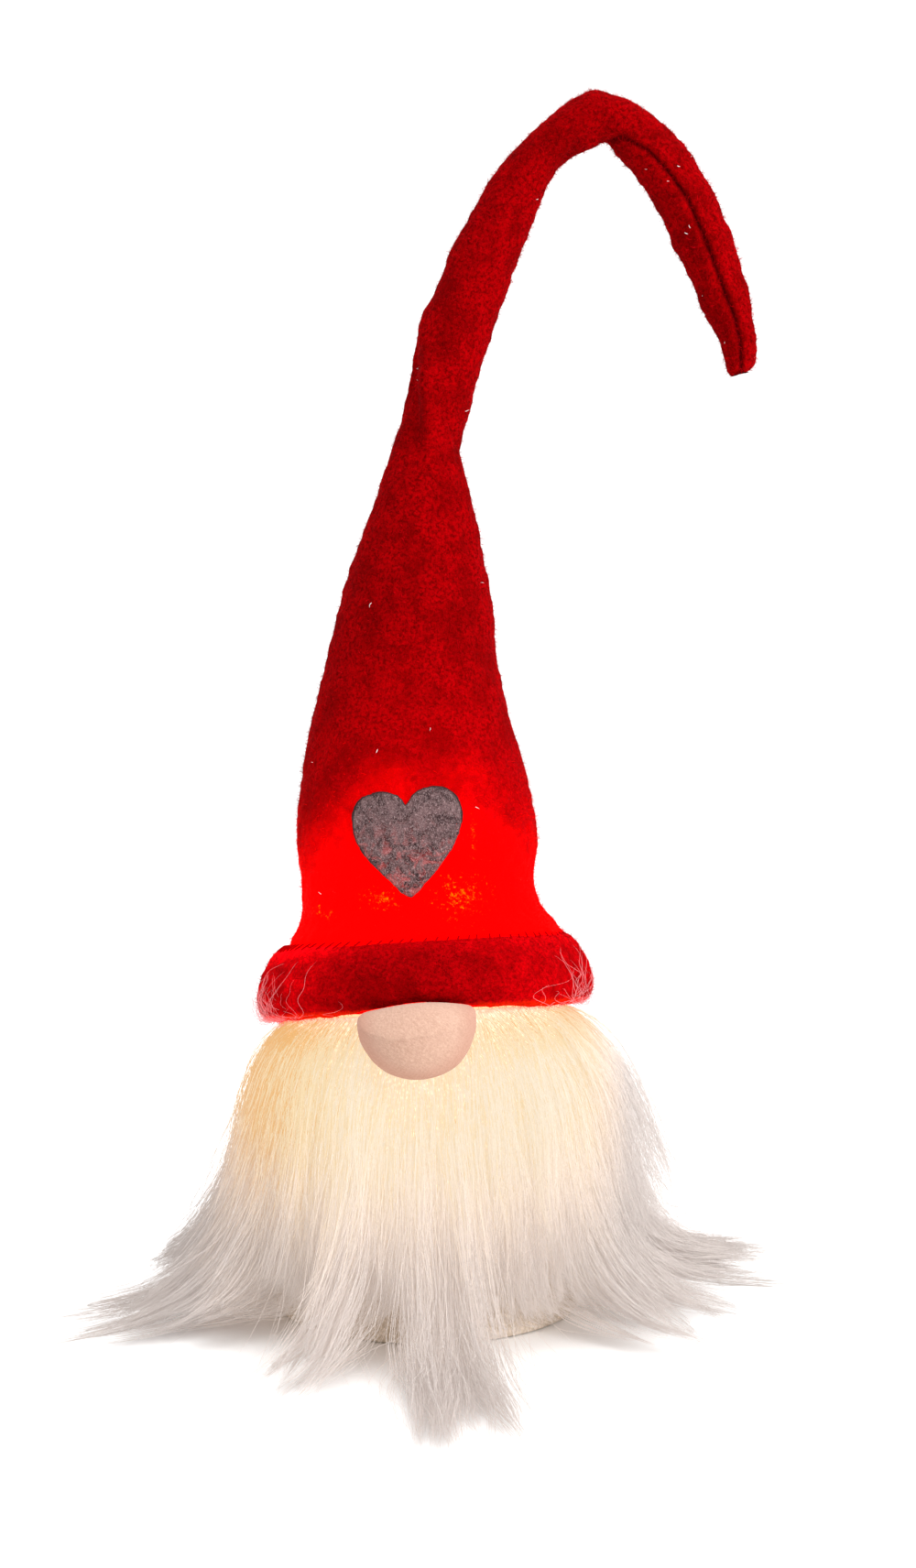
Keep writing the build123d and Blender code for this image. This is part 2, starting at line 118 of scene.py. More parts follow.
def full_turn(count):
    """Angles of that many even steps of a full turn."""
    return 2 * np.pi * np.arange(count) / count


def tangents(angle):
    """Level direction round the upright axis at each angle."""
    return np.stack([-np.sin(angle), np.cos(angle), 0 * angle], axis=1)


def bell(value, wide):
    """1 at zero, falling off to both sides."""
    return np.exp(-(value / wide) ** 2)


def distances(line):
    """How far along a line of points each point is."""
    return np.concatenate([[0], np.cumsum(np.linalg.norm(np.diff(line, axis=0), axis=1))])


def unit(vectors):
    """Vectors of length one."""
    return vectors / np.maximum(np.linalg.norm(vectors, axis=-1, keepdims=True), 1e-9)


def grid_normals(points):
    """Outward normals of a grid (rows, around, 3) that is closed round each row."""
    along = np.gradient(points, axis=0)
    round_it = np.roll(points, -1, axis=1) - np.roll(points, 1, axis=1)
    return unit(np.cross(round_it, along))


def through(knots, values, at):
    """Smooth curve through values at uneven knots, read at the places at."""
    knots, values, at = np.asarray(knots, float), np.asarray(values, float), np.asarray(at, float)
    gaps = np.diff(knots)
    slopes = np.diff(values, axis=0) / gaps[:, None]
    inner = (slopes[:-1] * gaps[1:, None] + slopes[1:] * gaps[:-1, None]) / (gaps[:-1] + gaps[1:])[:, None]
    slopes = np.concatenate([slopes[:1], inner, slopes[-1:]])
    i = np.clip(np.searchsorted(knots, at, side="right") - 1, 0, len(gaps) - 1)
    t = ((at - knots[i]) / gaps[i])[:, None]
    h = gaps[i][:, None]
    return ((2 * t ** 3 - 3 * t ** 2 + 1) * values[i] + (t ** 3 - 2 * t ** 2 + t) * h * slopes[i]
            + (3 * t ** 2 - 2 * t ** 3) * values[i + 1] + (t ** 3 - t ** 2) * h * slopes[i + 1])


def step_up(value, low, high):
    """0 below low, 1 above high, smooth between."""
    t = np.clip((np.asarray(value, float) - low) / (high - low), 0, 1)
    return t * t * (3 - 2 * t)


def lumps(points, size, shift=0.0):
    """Smooth random height at each point, from about -1 to 1, with bumps of that size."""
    flat = points.reshape(-1, 3) / size + shift
    return np.array([noise.noise(Vector(p)) for p in flat]).reshape(points.shape[:-1])


def near_line(x, z, line):
    """Distance of each (x, z) from a line of points, and how far along it is, from 0 to 1."""
    line = np.asarray(line, float)
    spot = np.stack([x, z], axis=-1)
    best, where = np.full(x.shape, 1e9), np.zeros(x.shape)
    for i, (a, b) in enumerate(zip(line, line[1:])):
        t = np.clip(((spot - a) @ (b - a)) / ((b - a) @ (b - a)), 0, 1)
        off = np.linalg.norm(spot - (a + t[..., None] * (b - a)), axis=-1)
        where = np.where(off < best, (i + t) / (len(line) - 1), where)
        best = np.minimum(best, off)
    return best, where


def strands(name, paths, radii, across, materials, finish, sides=3):
    """Closed tapered strands along paths (count, steps, 3); finish (count, steps - 1) is each segment's
    material."""
    count, steps, _ = paths.shape
    rings = steps - 1
    along = unit(np.gradient(paths, axis=1)[:, :rings])
    side = unit(np.cross(along, across[:, None, :]))
    up = np.cross(along, side)
    turn = full_turn(sides)
    spokes = np.cos(turn)[:, None] * side[:, :, None, :] + np.sin(turn)[:, None] * up[:, :, None, :]
    walls = paths[:, :rings, None, :] + radii[:, :rings, None, None] * spokes
    points = np.concatenate([walls.reshape(count, -1, 3), paths[:, -1:, :]], axis=1)
    each = points.shape[1]
    base = (np.arange(count) * each)[:, None, None]
    quads = base + grid_faces(rings, sides)[None]
    last = (rings - 1) * sides
    tip = np.array([[last + k, last + (k + 1) % sides, each - 1] for k in range(sides)])
    root = np.arange(sides)[::-1][None]
    tips, roots = base + tip[None], base + root[None]
    face_sets = quads.reshape(-1, 4), tips.reshape(-1, 3), roots.reshape(-1, sides)
    mesh = mesh_of(name, points.reshape(-1, 3), *face_sets)
    made = link(name, mesh, materials)
    finish = finish.astype(np.int32)
    walls_finish = np.repeat(finish[:, :rings - 1], sides, axis=1).ravel()
    slots = np.concatenate([walls_finish, np.repeat(finish[:, -1], sides), finish[:, 0]])
    mesh.polygons.foreach_set("material_index", slots)
    return made


# ---- Materials ------------------------------------------------------------------------------
class Look:
    """A procedural material, built up round its Principled shader."""

    def __init__(self, name, **plain):
        self.material = bpy.data.materials.new(name)
        self.material.use_nodes = True
        self.tree = self.material.node_tree
        self.skin = self.tree.nodes["Principled BSDF"]
        self.put(**plain)

    def put(self, **sockets):
        """Sets or wires the shader's sockets: base_color is its Base Color."""
        for key, value in sockets.items():
            self.wire(value, self.skin.inputs[key.replace("_", " ").title().replace("Ior", "IOR")])

    def wire(self, value, socket):
        if isinstance(value, bpy.types.NodeSocket):
            self.tree.links.new(value, socket)
        else:
            socket.default_value = value

    def node(self, kind, wires, **settings):
        made = self.tree.nodes.new("ShaderNode" + kind)
        for key, value in settings.items():
            setattr(made, key, value)
        for key, value in wires.items():
            self.wire(value, made.inputs[key])
        return made

    def here(self):
        """The place on the object, in metres, as it stands at rest."""
        return self.node("TexCoord", {}).outputs["Object"]

    def rest(self):
        """The place at rest, in metres, stored on the mesh."""
        return self.node("Attribute", {}, attribute_name="rest").outputs["Vector"]

    def value(self, name):
        """A number stored on the mesh."""
        return self.node("Attribute", {}, attribute_name=name).outputs["Fac"]

    def part(self, place, axis):
        return self.node("SeparateXYZ", {0: place}).outputs[axis]

    def noise(self, place, size, detail=3.0, rough=0.55, twist=0.0):
        """Noise with features of that size in millimetres."""
        wires = {"Vector": place, "Scale": 1 / (size * MM), "Detail": detail, "Roughness": rough,
                 "Distortion": twist}
        return self.node("TexNoise", wires).outputs["Fac"]

    def wobble(self, place, size, detail, rough, far):
        """Noise about zero, that many millimetres from end to end."""
        return self.times(self.minus(self.noise(place, size, detail, rough), 0.5), far * MM)

    def ribs(self, place, size, twist, direction):
        """Uneven bands across a direction, as in a weave or a knit."""
        wires = {"Vector": place, "Scale": 1 / (size * MM), "Distortion": twist, "Detail": 2.0}
        return self.node("TexWave", wires, bands_direction=direction).outputs["Fac"]

    def cells(self, place, size):
        wires = {"Vector": place, "Scale": 1 / (size * MM)}
        return self.node("TexVoronoi", wires, feature="F1").outputs["Distance"]

    def maths(self, operation, a, b=0.0):
        return self.node("Math", {0: a, 1: b}, operation=operation).outputs[0]

    def plus(self, a, b):
        return self.maths("ADD", a, b)

    def minus(self, a, b):
        return self.maths("SUBTRACT", a, b)

    def times(self, a, b):
        return self.maths("MULTIPLY", a, b)

    def vector(self, operation, a, b=(0, 0, 0)):
        return self.node("VectorMath", {0: a, 1: b}, operation=operation)

    def from_point(self, place, point):
        """The way to a place from a point in millimetres."""
        return self.vector("SUBTRACT", place, tuple(c * MM for c in point)).outputs[0]

    def length(self, way):
        return self.vector("LENGTH", way).outputs["Value"]

    def stretch(self, place, scale):
        return self.vector("MULTIPLY", place, scale).outputs[0]

    def between(self, value, low, high, to_low=0.0, to_high=1.0):
        """Smooth change from to_low at low to to_high at high."""
        wires = {"Value": value, "From Min": low, "From Max": high, "To Min": to_low, "To Max": to_high}
        return self.node("MapRange", wires, interpolation_type="SMOOTHSTEP").outputs[0]

    def mix(self, share, a, b):
        """Colour a where share is 0 and b where it is 1."""
        return self.node("Mix", {0: share, 6: a, 7: b}, data_type="RGBA").outputs[2]

    def bump(self, height, deep, strength=1.0, under=None):
        """Relief of that depth in millimetres."""
        wires = {"Height": height, "Distance": deep * MM, "Strength": strength}
        if under is not None:
            wires["Normal"] = under
        return self.node("Bump", wires).outputs[0]


def rgb(r, g, b):
    return (r, g, b, 1.0)


BLACK = rgb(0, 0, 0)


def felt_relief(look, place):
    """Matted wool: soft hollows, tangled fibres and fine nap."""
    soft = look.noise(place, 4.5, 3.0)
    matted = look.noise(place, 1.3, 5.0, 0.7, 0.4)
    nap = look.noise(place, 0.45, 3.0, 0.7, 0.8)
    normal = look.bump(soft, 1.2, 0.6)
    normal = look.bump(matted, 0.8, 0.8, normal)
    return look.bump(nap, 0.3, 0.8, normal), matted


def felt_colours(look, place, matted, dark, plain, light):
    """Wool colours: painted shade in the hollows of the felt's relief, plain wool, darker blotches and lighter
    fibre ends.
    """
    # Painted shade: the wool is darkest where the matted relief is lowest.
    colour = look.mix(look.between(matted, 0.36, 0.6), dark, plain)
    broad = look.noise(place, 15.0, 5.0, 0.6)
    colour = look.mix(look.times(look.between(broad, 0.44, 0.62), 0.6), colour, dark)
    fibre = look.noise(look.stretch(place, (1.0, 1.0, 0.4)), 0.36, 2.0, 0.6, 1.5)
    return look.mix(look.times(look.between(fibre, 0.52, 0.72), 0.5), colour, light)


# Heights where the lamp's glow in the hat ends and is full, and how much lower both are at the two sides.
GLOW_END, GLOW_FULL, GLOW_DROP = 214, 164, 22
# Thin places in the hat's felt: middle (x, z), and half width and half height.
THIN_PLACES = ((13, 159, 14, 12), (-15, 158, 11, 6), (-38, 151, 7, 3), (17, 180, 2, 12))


def hat_felt():
    """Red felt; the lamp shines through it between the brim and the heart."""
    look = Look("red_felt", roughness=0.95, specular_ior_level=0.01)
    place = look.rest()
    normal, matted = felt_relief(look, place)
    # The felt's colours carry painted shade in the hollows of its relief.
    colour = felt_colours(look, place, matted,
                          rgb(0.12, 0.0, 0.0), rgb(0.36, 0.0, 0.001), rgb(0.6, 0.0, 0.006))
    # Painted shade: near black along the seam's groove and the fold at the kink.
    colour = look.mix(look.times(look.value("seam_shade"), 0.85), colour, rgb(0.05, 0.0, 0.001))
    look.put(normal=normal)
    # The glow ends in a ragged edge, and reaches less high at the left and right.
    x, z = look.part(place, "X"), look.part(place, "Z")
    wide = look.wobble(place, 16.0, 3.0, 0.6, 34)
    fine = look.wobble(place, 2.6, 6.0, 0.75, 30)
    left = look.between(x, -14 * MM, -48 * MM, 0.0, GLOW_DROP * MM)
    right = look.between(x, 15 * MM, 43 * MM, 0.0, GLOW_DROP * MM)
    height = look.plus(look.plus(z, wide), look.plus(left, right))
    glow = look.between(look.plus(height, fine), GLOW_END * MM, GLOW_FULL * MM)
    look.put(base_color=look.mix(glow, colour, rgb(0.5, 0.0, 0.0)))
    faint = look.between(height, 262 * MM, 200 * MM, 0.0, 0.1)
    # Thin places in the felt let the light straight through.
    speck = look.noise(place, 1.6, 7.0, 0.85)
    near = None
    for x0, z0, size_x, size_z in THIN_PLACES:
        off = look.stretch(look.from_point(place, (x0, 0, z0)), (1 / (size_x * MM), 0.0, 1 / (size_z * MM)))
        reach = look.length(off)
        near = reach if near is None else look.maths("MINIMUM", near, reach)
    near = look.plus(near, look.times(look.noise(place, 5.0, 4.0, 0.7), 1.6))
    level = look.minus(speck, look.between(near, 0.6, 2.2, 0.0, 0.16))
    front = look.between(look.part(place, "Y"), 0.0, -20 * MM)
    thin = look.times(look.between(level, 0.51, 0.58), front)
    look.put(emission_color=look.mix(thin, rgb(1.0, 0.0, 0.0), rgb(1.0, 0.24, 0.0)))
    fibres = look.between(matted, 0.25, 0.7, 0.8, 1.0)
    look.put(emission_strength=look.plus(look.times(glow, fibres), faint))
    return look.material


BRIM_CENTRE = np.array([-1.0, 0.0, 121.8])
BRIM_SIDE, BRIM_BACK = math.radians(3.5), math.radians(10.0)
BRIM_X = unit(np.array([1.0, 0.0, math.tan(BRIM_SIDE)]))
BRIM_UP = unit(np.array([-math.sin(BRIM_SIDE) * math.cos(BRIM_BACK), math.sin(BRIM_BACK),
                         math.cos(BRIM_BACK) * math.cos(BRIM_SIDE)]))
BRIM_Y = np.cross(BRIM_UP, BRIM_X)
CUFF_HIGH = 22.0


def brim_point(radius, turn, up):
    """Point of the brim's own frame: radius and turn about its axis, and height along it."""
    radius, turn, up = (np.asarray(v, float)[..., None] for v in (radius, turn, up))
    return BRIM_CENTRE + radius * np.cos(turn) * BRIM_X + radius * np.sin(turn) * BRIM_Y + up * BRIM_UP


def brim_felt():
    """The same felt, turned up double, with darker wool colours as painted shade where the lamp shines less
    through it, and a painted glow of the lamp along its lower fold, at its two ends and along its upper edge,
    most at the left.
    """
    look = Look("red_felt_brim", roughness=0.95, specular_ior_level=0.01)
    place = look.here()
    normal, matted = felt_relief(look, place)
    # Darker wool colours than the hat's: painted shade of the doubled felt.
    colour = felt_colours(look, place, matted,
                          rgb(0.13, 0.0, 0.0), rgb(0.31, 0.0, 0.001), rgb(0.5, 0.0, 0.006))
    look.put(base_color=colour)
    look.put(normal=normal)
    up = look.vector("DOT_PRODUCT", look.from_point(place, BRIM_CENTRE), tuple(BRIM_UP)).outputs["Value"]
    up = look.plus(up, look.wobble(place, 3.0, 4.0, 0.6, 3.5))
    fold = look.between(up, -8.6 * MM, -10.6 * MM)
    # Painted glow of the lamp at the two ends and along the upper edge, patchy and weaker in the hollows.
    x = look.part(place, "X")
    right = look.between(x, 2 * MM, 46 * MM, 0.07, 0.36)
    left = look.between(x, -20 * MM, -50 * MM, 0.0, 0.36)
    edge = look.times(look.between(up, 6.5 * MM, 14 * MM, 0.0, 0.8),
                      look.between(x, -20 * MM, -46 * MM, 0.25, 1.0))
    cloud = look.between(look.noise(place, 6.0, 4.0, 0.65), 0.35, 0.68, 0.5, 1.35)
    body = look.plus(look.times(look.plus(right, left), cloud), edge)
    body = look.times(body, look.between(matted, 0.3, 0.65, 0.65, 1.15))
    look.put(emission_color=look.mix(fold, rgb(1.0, 0.0, 0.003), rgb(1.0, 0.02, 0.0)))
    look.put(emission_strength=look.plus(look.times(fold, 0.4), body))
    return look.material


def grey_felt():
    """Grey-brown heart, pinkish low down where the lamp is behind it."""
    look = Look("grey_felt", roughness=0.95, specular_ior_level=0.1, sheen_weight=0.05, sheen_roughness=0.5)
    place = look.here()
    normal, _ = felt_relief(look, place)
    clouds = look.noise(place, 4.0, 7.0, 0.78, 0.3)
    colour = look.mix(look.between(clouds, 0.4, 0.6), rgb(0.014, 0.008, 0.009), rgb(0.12, 0.07, 0.071))
    fibre = look.noise(look.stretch(place, (1.0, 1.0, 0.6)), 0.42, 4.0, 0.7, 1.6)
    colour = look.mix(look.times(look.between(fibre, 0.5, 0.62), 0.85), colour, rgb(0.4, 0.27, 0.27))
    # The cut edge lies in its own shadow.
    facing = look.part(look.node("NewGeometry", {}).outputs["Normal"], "Y")
    cut = look.between(facing, -0.8, -0.45)
    colour = look.mix(cut, colour, rgb(0.012, 0.004, 0.005))
    look.put(base_color=colour)
    look.put(normal=normal)
    low = look.between(look.part(place, "Z"), 190 * MM, 166 * MM)
    patchy = look.between(look.noise(place, 4.5, 5.0, 0.7, 1.0), 0.46, 0.64)
    look.put(emission_color=rgb(1.0, 0.07, 0.06))
    share = look.times(look.times(low, patchy), 0.3)
    look.put(emission_strength=look.plus(0.006, share))
    return look.material


NOSE_CENTRE, NOSE_R = np.array([-2.9, -68.0, 118.6]), 20.6
# Distance from the upright axis at which the nose rests on the pile's backing, and the share by which it is
# shallower than a ball in front of that.
NOSE_REST, NOSE_SQUEEZE = 57.6, 0.27


def nose_cloth():
    """Brushed plain-weave cloth with a faint painted glow all over, redder and a little stronger at its rim
    where the lamp is behind it, and painted shade that darkens its rim.
    """
    look = Look("nose_cloth", roughness=0.85, specular_ior_level=0.2, sheen_weight=0.2, sheen_roughness=0.45)
    look.put(sheen_tint=rgb(1.0, 0.88, 0.8))
    place = look.here()
    bias = look.node("VectorRotate", {"Vector": place, "Axis": (0, 1, 0), "Angle": math.radians(55)},
                     rotation_type="AXIS_ANGLE").outputs["Vector"]
    weave = look.times(look.ribs(bias, 4.2, 1.2, "X"), look.ribs(bias, 4.2, 1.2, "Z"))
    nap = look.noise(look.stretch(bias, (1.0, 0.6, 0.4)), 0.55, 4.0, 0.7, 1.0)
    cloud = look.noise(place, 7.0, 3.0)
    normal = look.bump(weave, 0.14, 0.6)
    normal = look.bump(nap, 0.3, 0.6, normal)
    colour = look.mix(look.between(nap, 0.35, 0.68), rgb(0.43, 0.26, 0.19), rgb(0.56, 0.365, 0.275))
    colour = look.mix(look.times(look.between(cloud, 0.35, 0.7), 0.4), colour, rgb(0.52, 0.33, 0.25))
    look.put(normal=normal)
    reach = look.length(look.stretch(look.from_point(place, NOSE_CENTRE), (1.0, 0.0, 1.0)))
    rim = look.between(reach, 12.0 * MM, 21 * MM)
    # Painted shade: the cloth is darker towards its rim.
    look.put(base_color=look.mix(look.times(rim, 0.7), colour, rgb(0.36, 0.2, 0.15)))
    # Painted glow: faint all over, redder and a little stronger towards the rim.
    look.put(emission_color=look.mix(rim, rgb(1.0, 0.5, 0.36), rgb(1.0, 0.2, 0.06)))
    look.put(emission_strength=look.plus(0.05, look.times(rim, 0.06)))
    return look.material


def knit_backing():
    """Knitted ground of the pile, with the lamp behind it."""
    look = Look("pile_backing", roughness=0.9, specular_ior_level=0.2, sheen_weight=0.1)
    place = look.here()
    rows = look.ribs(place, 6.0, 2.0, "Z")
    loops = look.cells(place, 1.5)
    look.put(base_color=look.mix(look.between(loops, 0.1, 0.6), rgb(0.66, 0.56, 0.48), rgb(0.5, 0.41, 0.33)))
    look.put(normal=look.bump(loops, 0.4, 0.6, look.bump(rows, 0.3, 0.5)))
    look.put(emission_color=rgb(1.0, 0.77, 0.52))
    z = look.part(place, "Z")
    look.put(emission_strength=look.times(look.between(z, 8 * MM, 60 * MM, 0.12, 0.85),
                                             look.between(loops, 0.0, 0.7, 1.1, 0.7)))
    return look.material


# ---- Finishes of the CAD pieces that stay -----------------------------------------------------
def moulded(name, low, high, rough, grain=0.4, deep=0.05):
    """Moulded plastic: a fine spark-eroded grain, slightly uneven in tone, with faint handling scuffs."""
    look = Look(name, specular_ior_level=0.45)
    place = look.here()
    cloud = look.noise(place, 9.0, 3.0)
    scuff = look.between(look.noise(look.stretch(place, (1.0, 0.15, 1.0)), 1.5, 3.0, 0.7), 0.62, 0.7)
    look.put(base_color=look.mix(scuff, look.mix(cloud, low, high), high))
    look.put(roughness=look.plus(rough, look.times(cloud, 0.15)))
    look.put(normal=look.bump(look.noise(place, grain, 2.0), deep, 0.5))
    return look


def metal(name, low, high, rough, along=(0.08, 1.0, 1.0)):
    """Bare or plated metal with drawn lines and tarnish."""
    look = Look(name, metallic=1.0)
    place = look.here()
    lines = look.noise(look.stretch(place, along), 0.25, 3.0, 0.7)
    tarnish = look.between(look.noise(place, 4.0, 5.0, 0.65), 0.4, 0.7)
    look.put(base_color=look.mix(tarnish, high, low))
    look.put(roughness=look.plus(rough, look.times(tarnish, 0.18)))
    look.put(normal=look.bump(lines, 0.03, 0.4))
    return look


def foam_look():
    look = Look("foam", roughness=0.9, specular_ior_level=0.2)
    place = look.here()
    cells = look.cells(place, 0.7)
    # The pores are painted darker than the walls between them: painted shade in the pores.
    walls = look.between(cells, 0.1, 0.7)
    look.put(base_color=look.mix(walls, rgb(0.03, 0.03, 0.032), rgb(0.075, 0.075, 0.078)))
    look.put(normal=look.bump(cells, 0.3, 0.7, look.bump(look.noise(place, 6.0), 0.3, 0.5)))
    return look


def lamp_look():
    """Milky shell, brightest over the lamps at its foot."""
    look = moulded("lamp_plastic", rgb(0.82, 0.76, 0.66), rgb(0.9, 0.85, 0.76), 0.3)
    z = look.part(look.here(), "Z")
    shade_lift_glow = look.noise(look.here(), 14.0, 2.0)
    high = look.between(z, 40 * MM, 160 * MM)
    look.put(emission_color=look.mix(high, rgb(1.0, 0.72, 0.4), rgb(1.0, 0.6, 0.26)))
    fall = look.between(z, 30 * MM, 170 * MM, 1.1, 0.5)
    look.put(emission_strength=look.plus(fall, look.times(shade_lift_glow, 0.15)))
    return look


def led_look():
    look = Look("led_lens", roughness=0.12, specular_ior_level=0.5, coat_weight=0.4)
    place = look.here()
    cup = look.between(look.part(place, "Z"), 33 * MM, 38 * MM)
    look.put(base_color=look.mix(cup, rgb(0.95, 0.75, 0.25), rgb(1.0, 0.88, 0.66)))
    look.put(emission_color=look.mix(cup, rgb(1.0, 0.5, 0.12), rgb(1.0, 0.76, 0.42)))
    look.put(emission_strength=look.between(look.noise(place, 1.5), 0.2, 0.8, 1.5, 2.4))
    return look


def board_look():
    """Green solder mask over copper traces, white print and bare pads."""
    look = Look("board", roughness=0.32, specular_ior_level=0.5)
    place = look.here()
    traces = {"Vector": place, "Scale": 1 / (9.0 * MM), "Mortar Size": 0.07, "Mortar Smooth": 0.3,
              "Brick Width": 0.9, "Row Height": 0.4}
    brick = look.node("TexBrick", traces).outputs["Fac"]
    mask = look.mix(look.noise(place, 5.0), rgb(0.01, 0.11, 0.045), rgb(0.015, 0.15, 0.06))
    colour = look.mix(brick, mask, rgb(0.03, 0.24, 0.1))
    ring = look.maths("ABSOLUTE", look.minus(look.vector("LENGTH", look.stretch(place, (1.0, 1.0, 0.0)),
                                                                     (0, 0, 0)).outputs["Value"], 27 * MM))
    look.put(base_color=look.mix(look.between(ring, 0.45 * MM, 0.25 * MM), colour, rgb(0.8, 0.8, 0.78)))
    look.put(normal=look.bump(brick, 0.05, 0.6))
    return look


def cell_look(side):
    """Printed sleeve: dark blue with a copper band at the nub end, and bare steel at both ends."""
    look = Look(f"cell_jacket_{'a' if side > 0 else 'b'}", roughness=0.3, coat_weight=0.3)
    place = look.here()
    x = look.part(place, "X")
    toward = look.times(x, side)
    grain = look.noise(look.stretch(place, (0.2, 1.0, 1.0)), 0.6, 3.0)
    colour = look.mix(look.between(grain, 0.3, 0.7), rgb(0.012, 0.025, 0.09), rgb(0.02, 0.04, 0.13))
    colour = look.mix(look.between(toward, 10.0 * MM, 10.3 * MM), colour, rgb(0.55, 0.22, 0.06))
    line = look.between(look.maths("ABSOLUTE", look.minus(toward, 9.3 * MM)), 0.35 * MM, 0.25 * MM)
    colour = look.mix(line, colour, rgb(0.75, 0.76, 0.78))
    bare = look.between(look.maths("ABSOLUTE", x), 21.0 * MM, 21.2 * MM)
    look.put(base_color=look.mix(bare, colour, rgb(0.6, 0.6, 0.6)))
    look.put(metallic=look.maths("MAXIMUM", bare, 0.25))
    look.put(normal=look.bump(grain, 0.03, 0.4))
    return look


def lead_look():
    """Red and black insulation, one for each lead."""
    look = Look("lead_sleeve", roughness=0.35, specular_ior_level=0.5)
    which = look.node("NewGeometry", {}).outputs["Random Per Island"]
    place = look.here()
    print_marks = look.between(look.noise(place, 1.2, 2.0), 0.66, 0.7)
    colour = look.mix(look.maths("GREATER_THAN", which, 0.5), rgb(0.35, 0.01, 0.01), rgb(0.015, 0.015, 0.016))
    look.put(base_color=look.mix(look.times(print_marks, 0.4), colour, rgb(0.5, 0.4, 0.4)))
    look.put(normal=look.bump(look.noise(place, 0.8), 0.04, 0.5))
    return look


def filling_look():
    look = Look("filling", roughness=0.9, specular_ior_level=0.1, sheen_weight=0.3)
    place = look.here()
    fibre = look.noise(look.stretch(place, (1.0, 1.0, 0.3)), 0.8, 5.0, 0.75, 1.5)
    tuft = look.noise(place, 5.0, 3.0)
    light = look.between(fibre, 0.35, 0.65)
    look.put(base_color=look.mix(light, rgb(0.66, 0.65, 0.62), rgb(0.86, 0.85, 0.82)))
    look.put(normal=look.bump(fibre, 0.4, 0.7, look.bump(tuft, 1.5, 0.6)))
    return look


def finish_cad():
    """Gives every CAD piece the finish of its material slot."""
    looks = {
        "foam": foam_look(), "lamp_plastic": lamp_look(), "led_lens": led_look(), "board": board_look(),
        "lead_sleeve": lead_look(), "filling": filling_look(),
        "white_plastic": moulded("white_plastic", rgb(0.7, 0.7, 0.68), rgb(0.8, 0.8, 0.78), 0.42),
        "black_plastic": moulded("black_plastic", rgb(0.012, 0.012, 0.013), rgb(0.03, 0.03, 0.032), 0.4),
        "steel_wire": metal("steel_wire", rgb(0.3, 0.29, 0.28), rgb(0.55, 0.54, 0.53), 0.35,
                            along=(1.0, 1.0, 0.08)),
        "zinc_screw": metal("zinc_screw", rgb(0.45, 0.47, 0.48), rgb(0.68, 0.69, 0.7), 0.25),
        "nickel_sheet": metal("nickel_sheet", rgb(0.55, 0.52, 0.47), rgb(0.76, 0.74, 0.7), 0.16),
    }
    cells = {1.0: cell_look(1.0), -1.0: cell_look(-1.0)}
    for part in frame["record"]["subparts"]:
        node, slot = part["node"], part["material_slot"]
        skin = frame["nodes"][node].data.materials
        if slot == "cell_jacket":
            look = cells[-1.0 if node.endswith("2") else 1.0]
        elif slot in looks:
            look = looks[slot]
        else:
            continue
        skin.clear()
        skin.append(look.material)


# ---- Camera, light and floor ----------------------------------------------------------------
def stand_camera():
    """The photograph's view: a little above the middle, looking slightly down."""
    data = bpy.data.cameras.new("camera")
    data.sensor_width = 36.0
    data.lens = 55.63
    data.clip_start, data.clip_end = 0.01, 20.0
    camera = bpy.data.objects.new("camera", data)
    camera.location = (11.6 * MM, -900 * MM, 270 * MM)
    camera.rotation_euler = (math.radians(90 - 4.70), 0.0, 0.0)
    bpy.context.scene.collection.objects.link(camera)
    bpy.context.scene.camera = camera


def area_light(name, place, aim, size, watts):
    data = bpy.data.lights.new(name, "AREA")
    data.shape, data.size, data.energy = "DISK", size, watts
    lamp = bpy.data.objects.new(name, data)
    lamp.location = place
    lamp.rotation_euler = (Vector(aim) - Vector(place)).to_track_quat("-Z", "Y").to_euler()
    bpy.context.scene.collection.objects.link(lamp)


def studio():
    """White room light, a large soft key from the upper right, a light above and a near-white floor."""
    world = bpy.data.worlds.new("studio")
    world.use_nodes = True
    # White all round, dimmer from the front left, which gives the round shapes their shade.
    tree = world.node_tree
    sky = tree.nodes["Background"]
    sky.inputs["Color"].default_value = rgb(1, 1, 1)
    way = tree.nodes.new("ShaderNodeTexCoord").outputs["Generated"]
    side = tree.nodes.new("ShaderNodeVectorMath")
    side.operation = "DOT_PRODUCT"
    side.inputs[1].default_value = (0.7, 0.7, 0.1)
    tree.links.new(way, side.inputs[0])
    ramp = tree.nodes.new("ShaderNodeMapRange")
    ramp.interpolation_type = "SMOOTHSTEP"
    for name, value in (("From Min", -0.85), ("From Max", -0.05), ("To Min", 0.48), ("To Max", 1.22)):
        ramp.inputs[name].default_value = value
    tree.links.new(side.outputs["Value"], ramp.inputs["Value"])
    tree.links.new(ramp.outputs[0], sky.inputs["Strength"])
    bpy.context.scene.world = world
    area_light("key", (1.0, -1.0, 0.8), (0, 0, 0.2), 0.8, 16.0)
    area_light("top", (-0.2, 0.1, 1.6), (0, 0, 0), 1.2, 12.0)
    look = Look("floor", roughness=0.9, specular_ior_level=0.1)
    grain = look.noise(look.here(), 2.0, 2.0)
    look.put(base_color=look.mix(grain, rgb(0.93, 0.93, 0.93), rgb(0.97, 0.97, 0.97)))
    half = 3000.0
    corners = [(-half, -half, 0), (half, -half, 0), (half, half, 0), (-half, half, 0)]
    floor = link("floor", mesh_of("floor", corners, [[0, 1, 2, 3]]), [look.material], smooth=False)
    bpy.context.scene.view_settings.view_transform = "Standard"


# ---- Hat ------------------------------------------------------------------------------------
FELT = 2.5
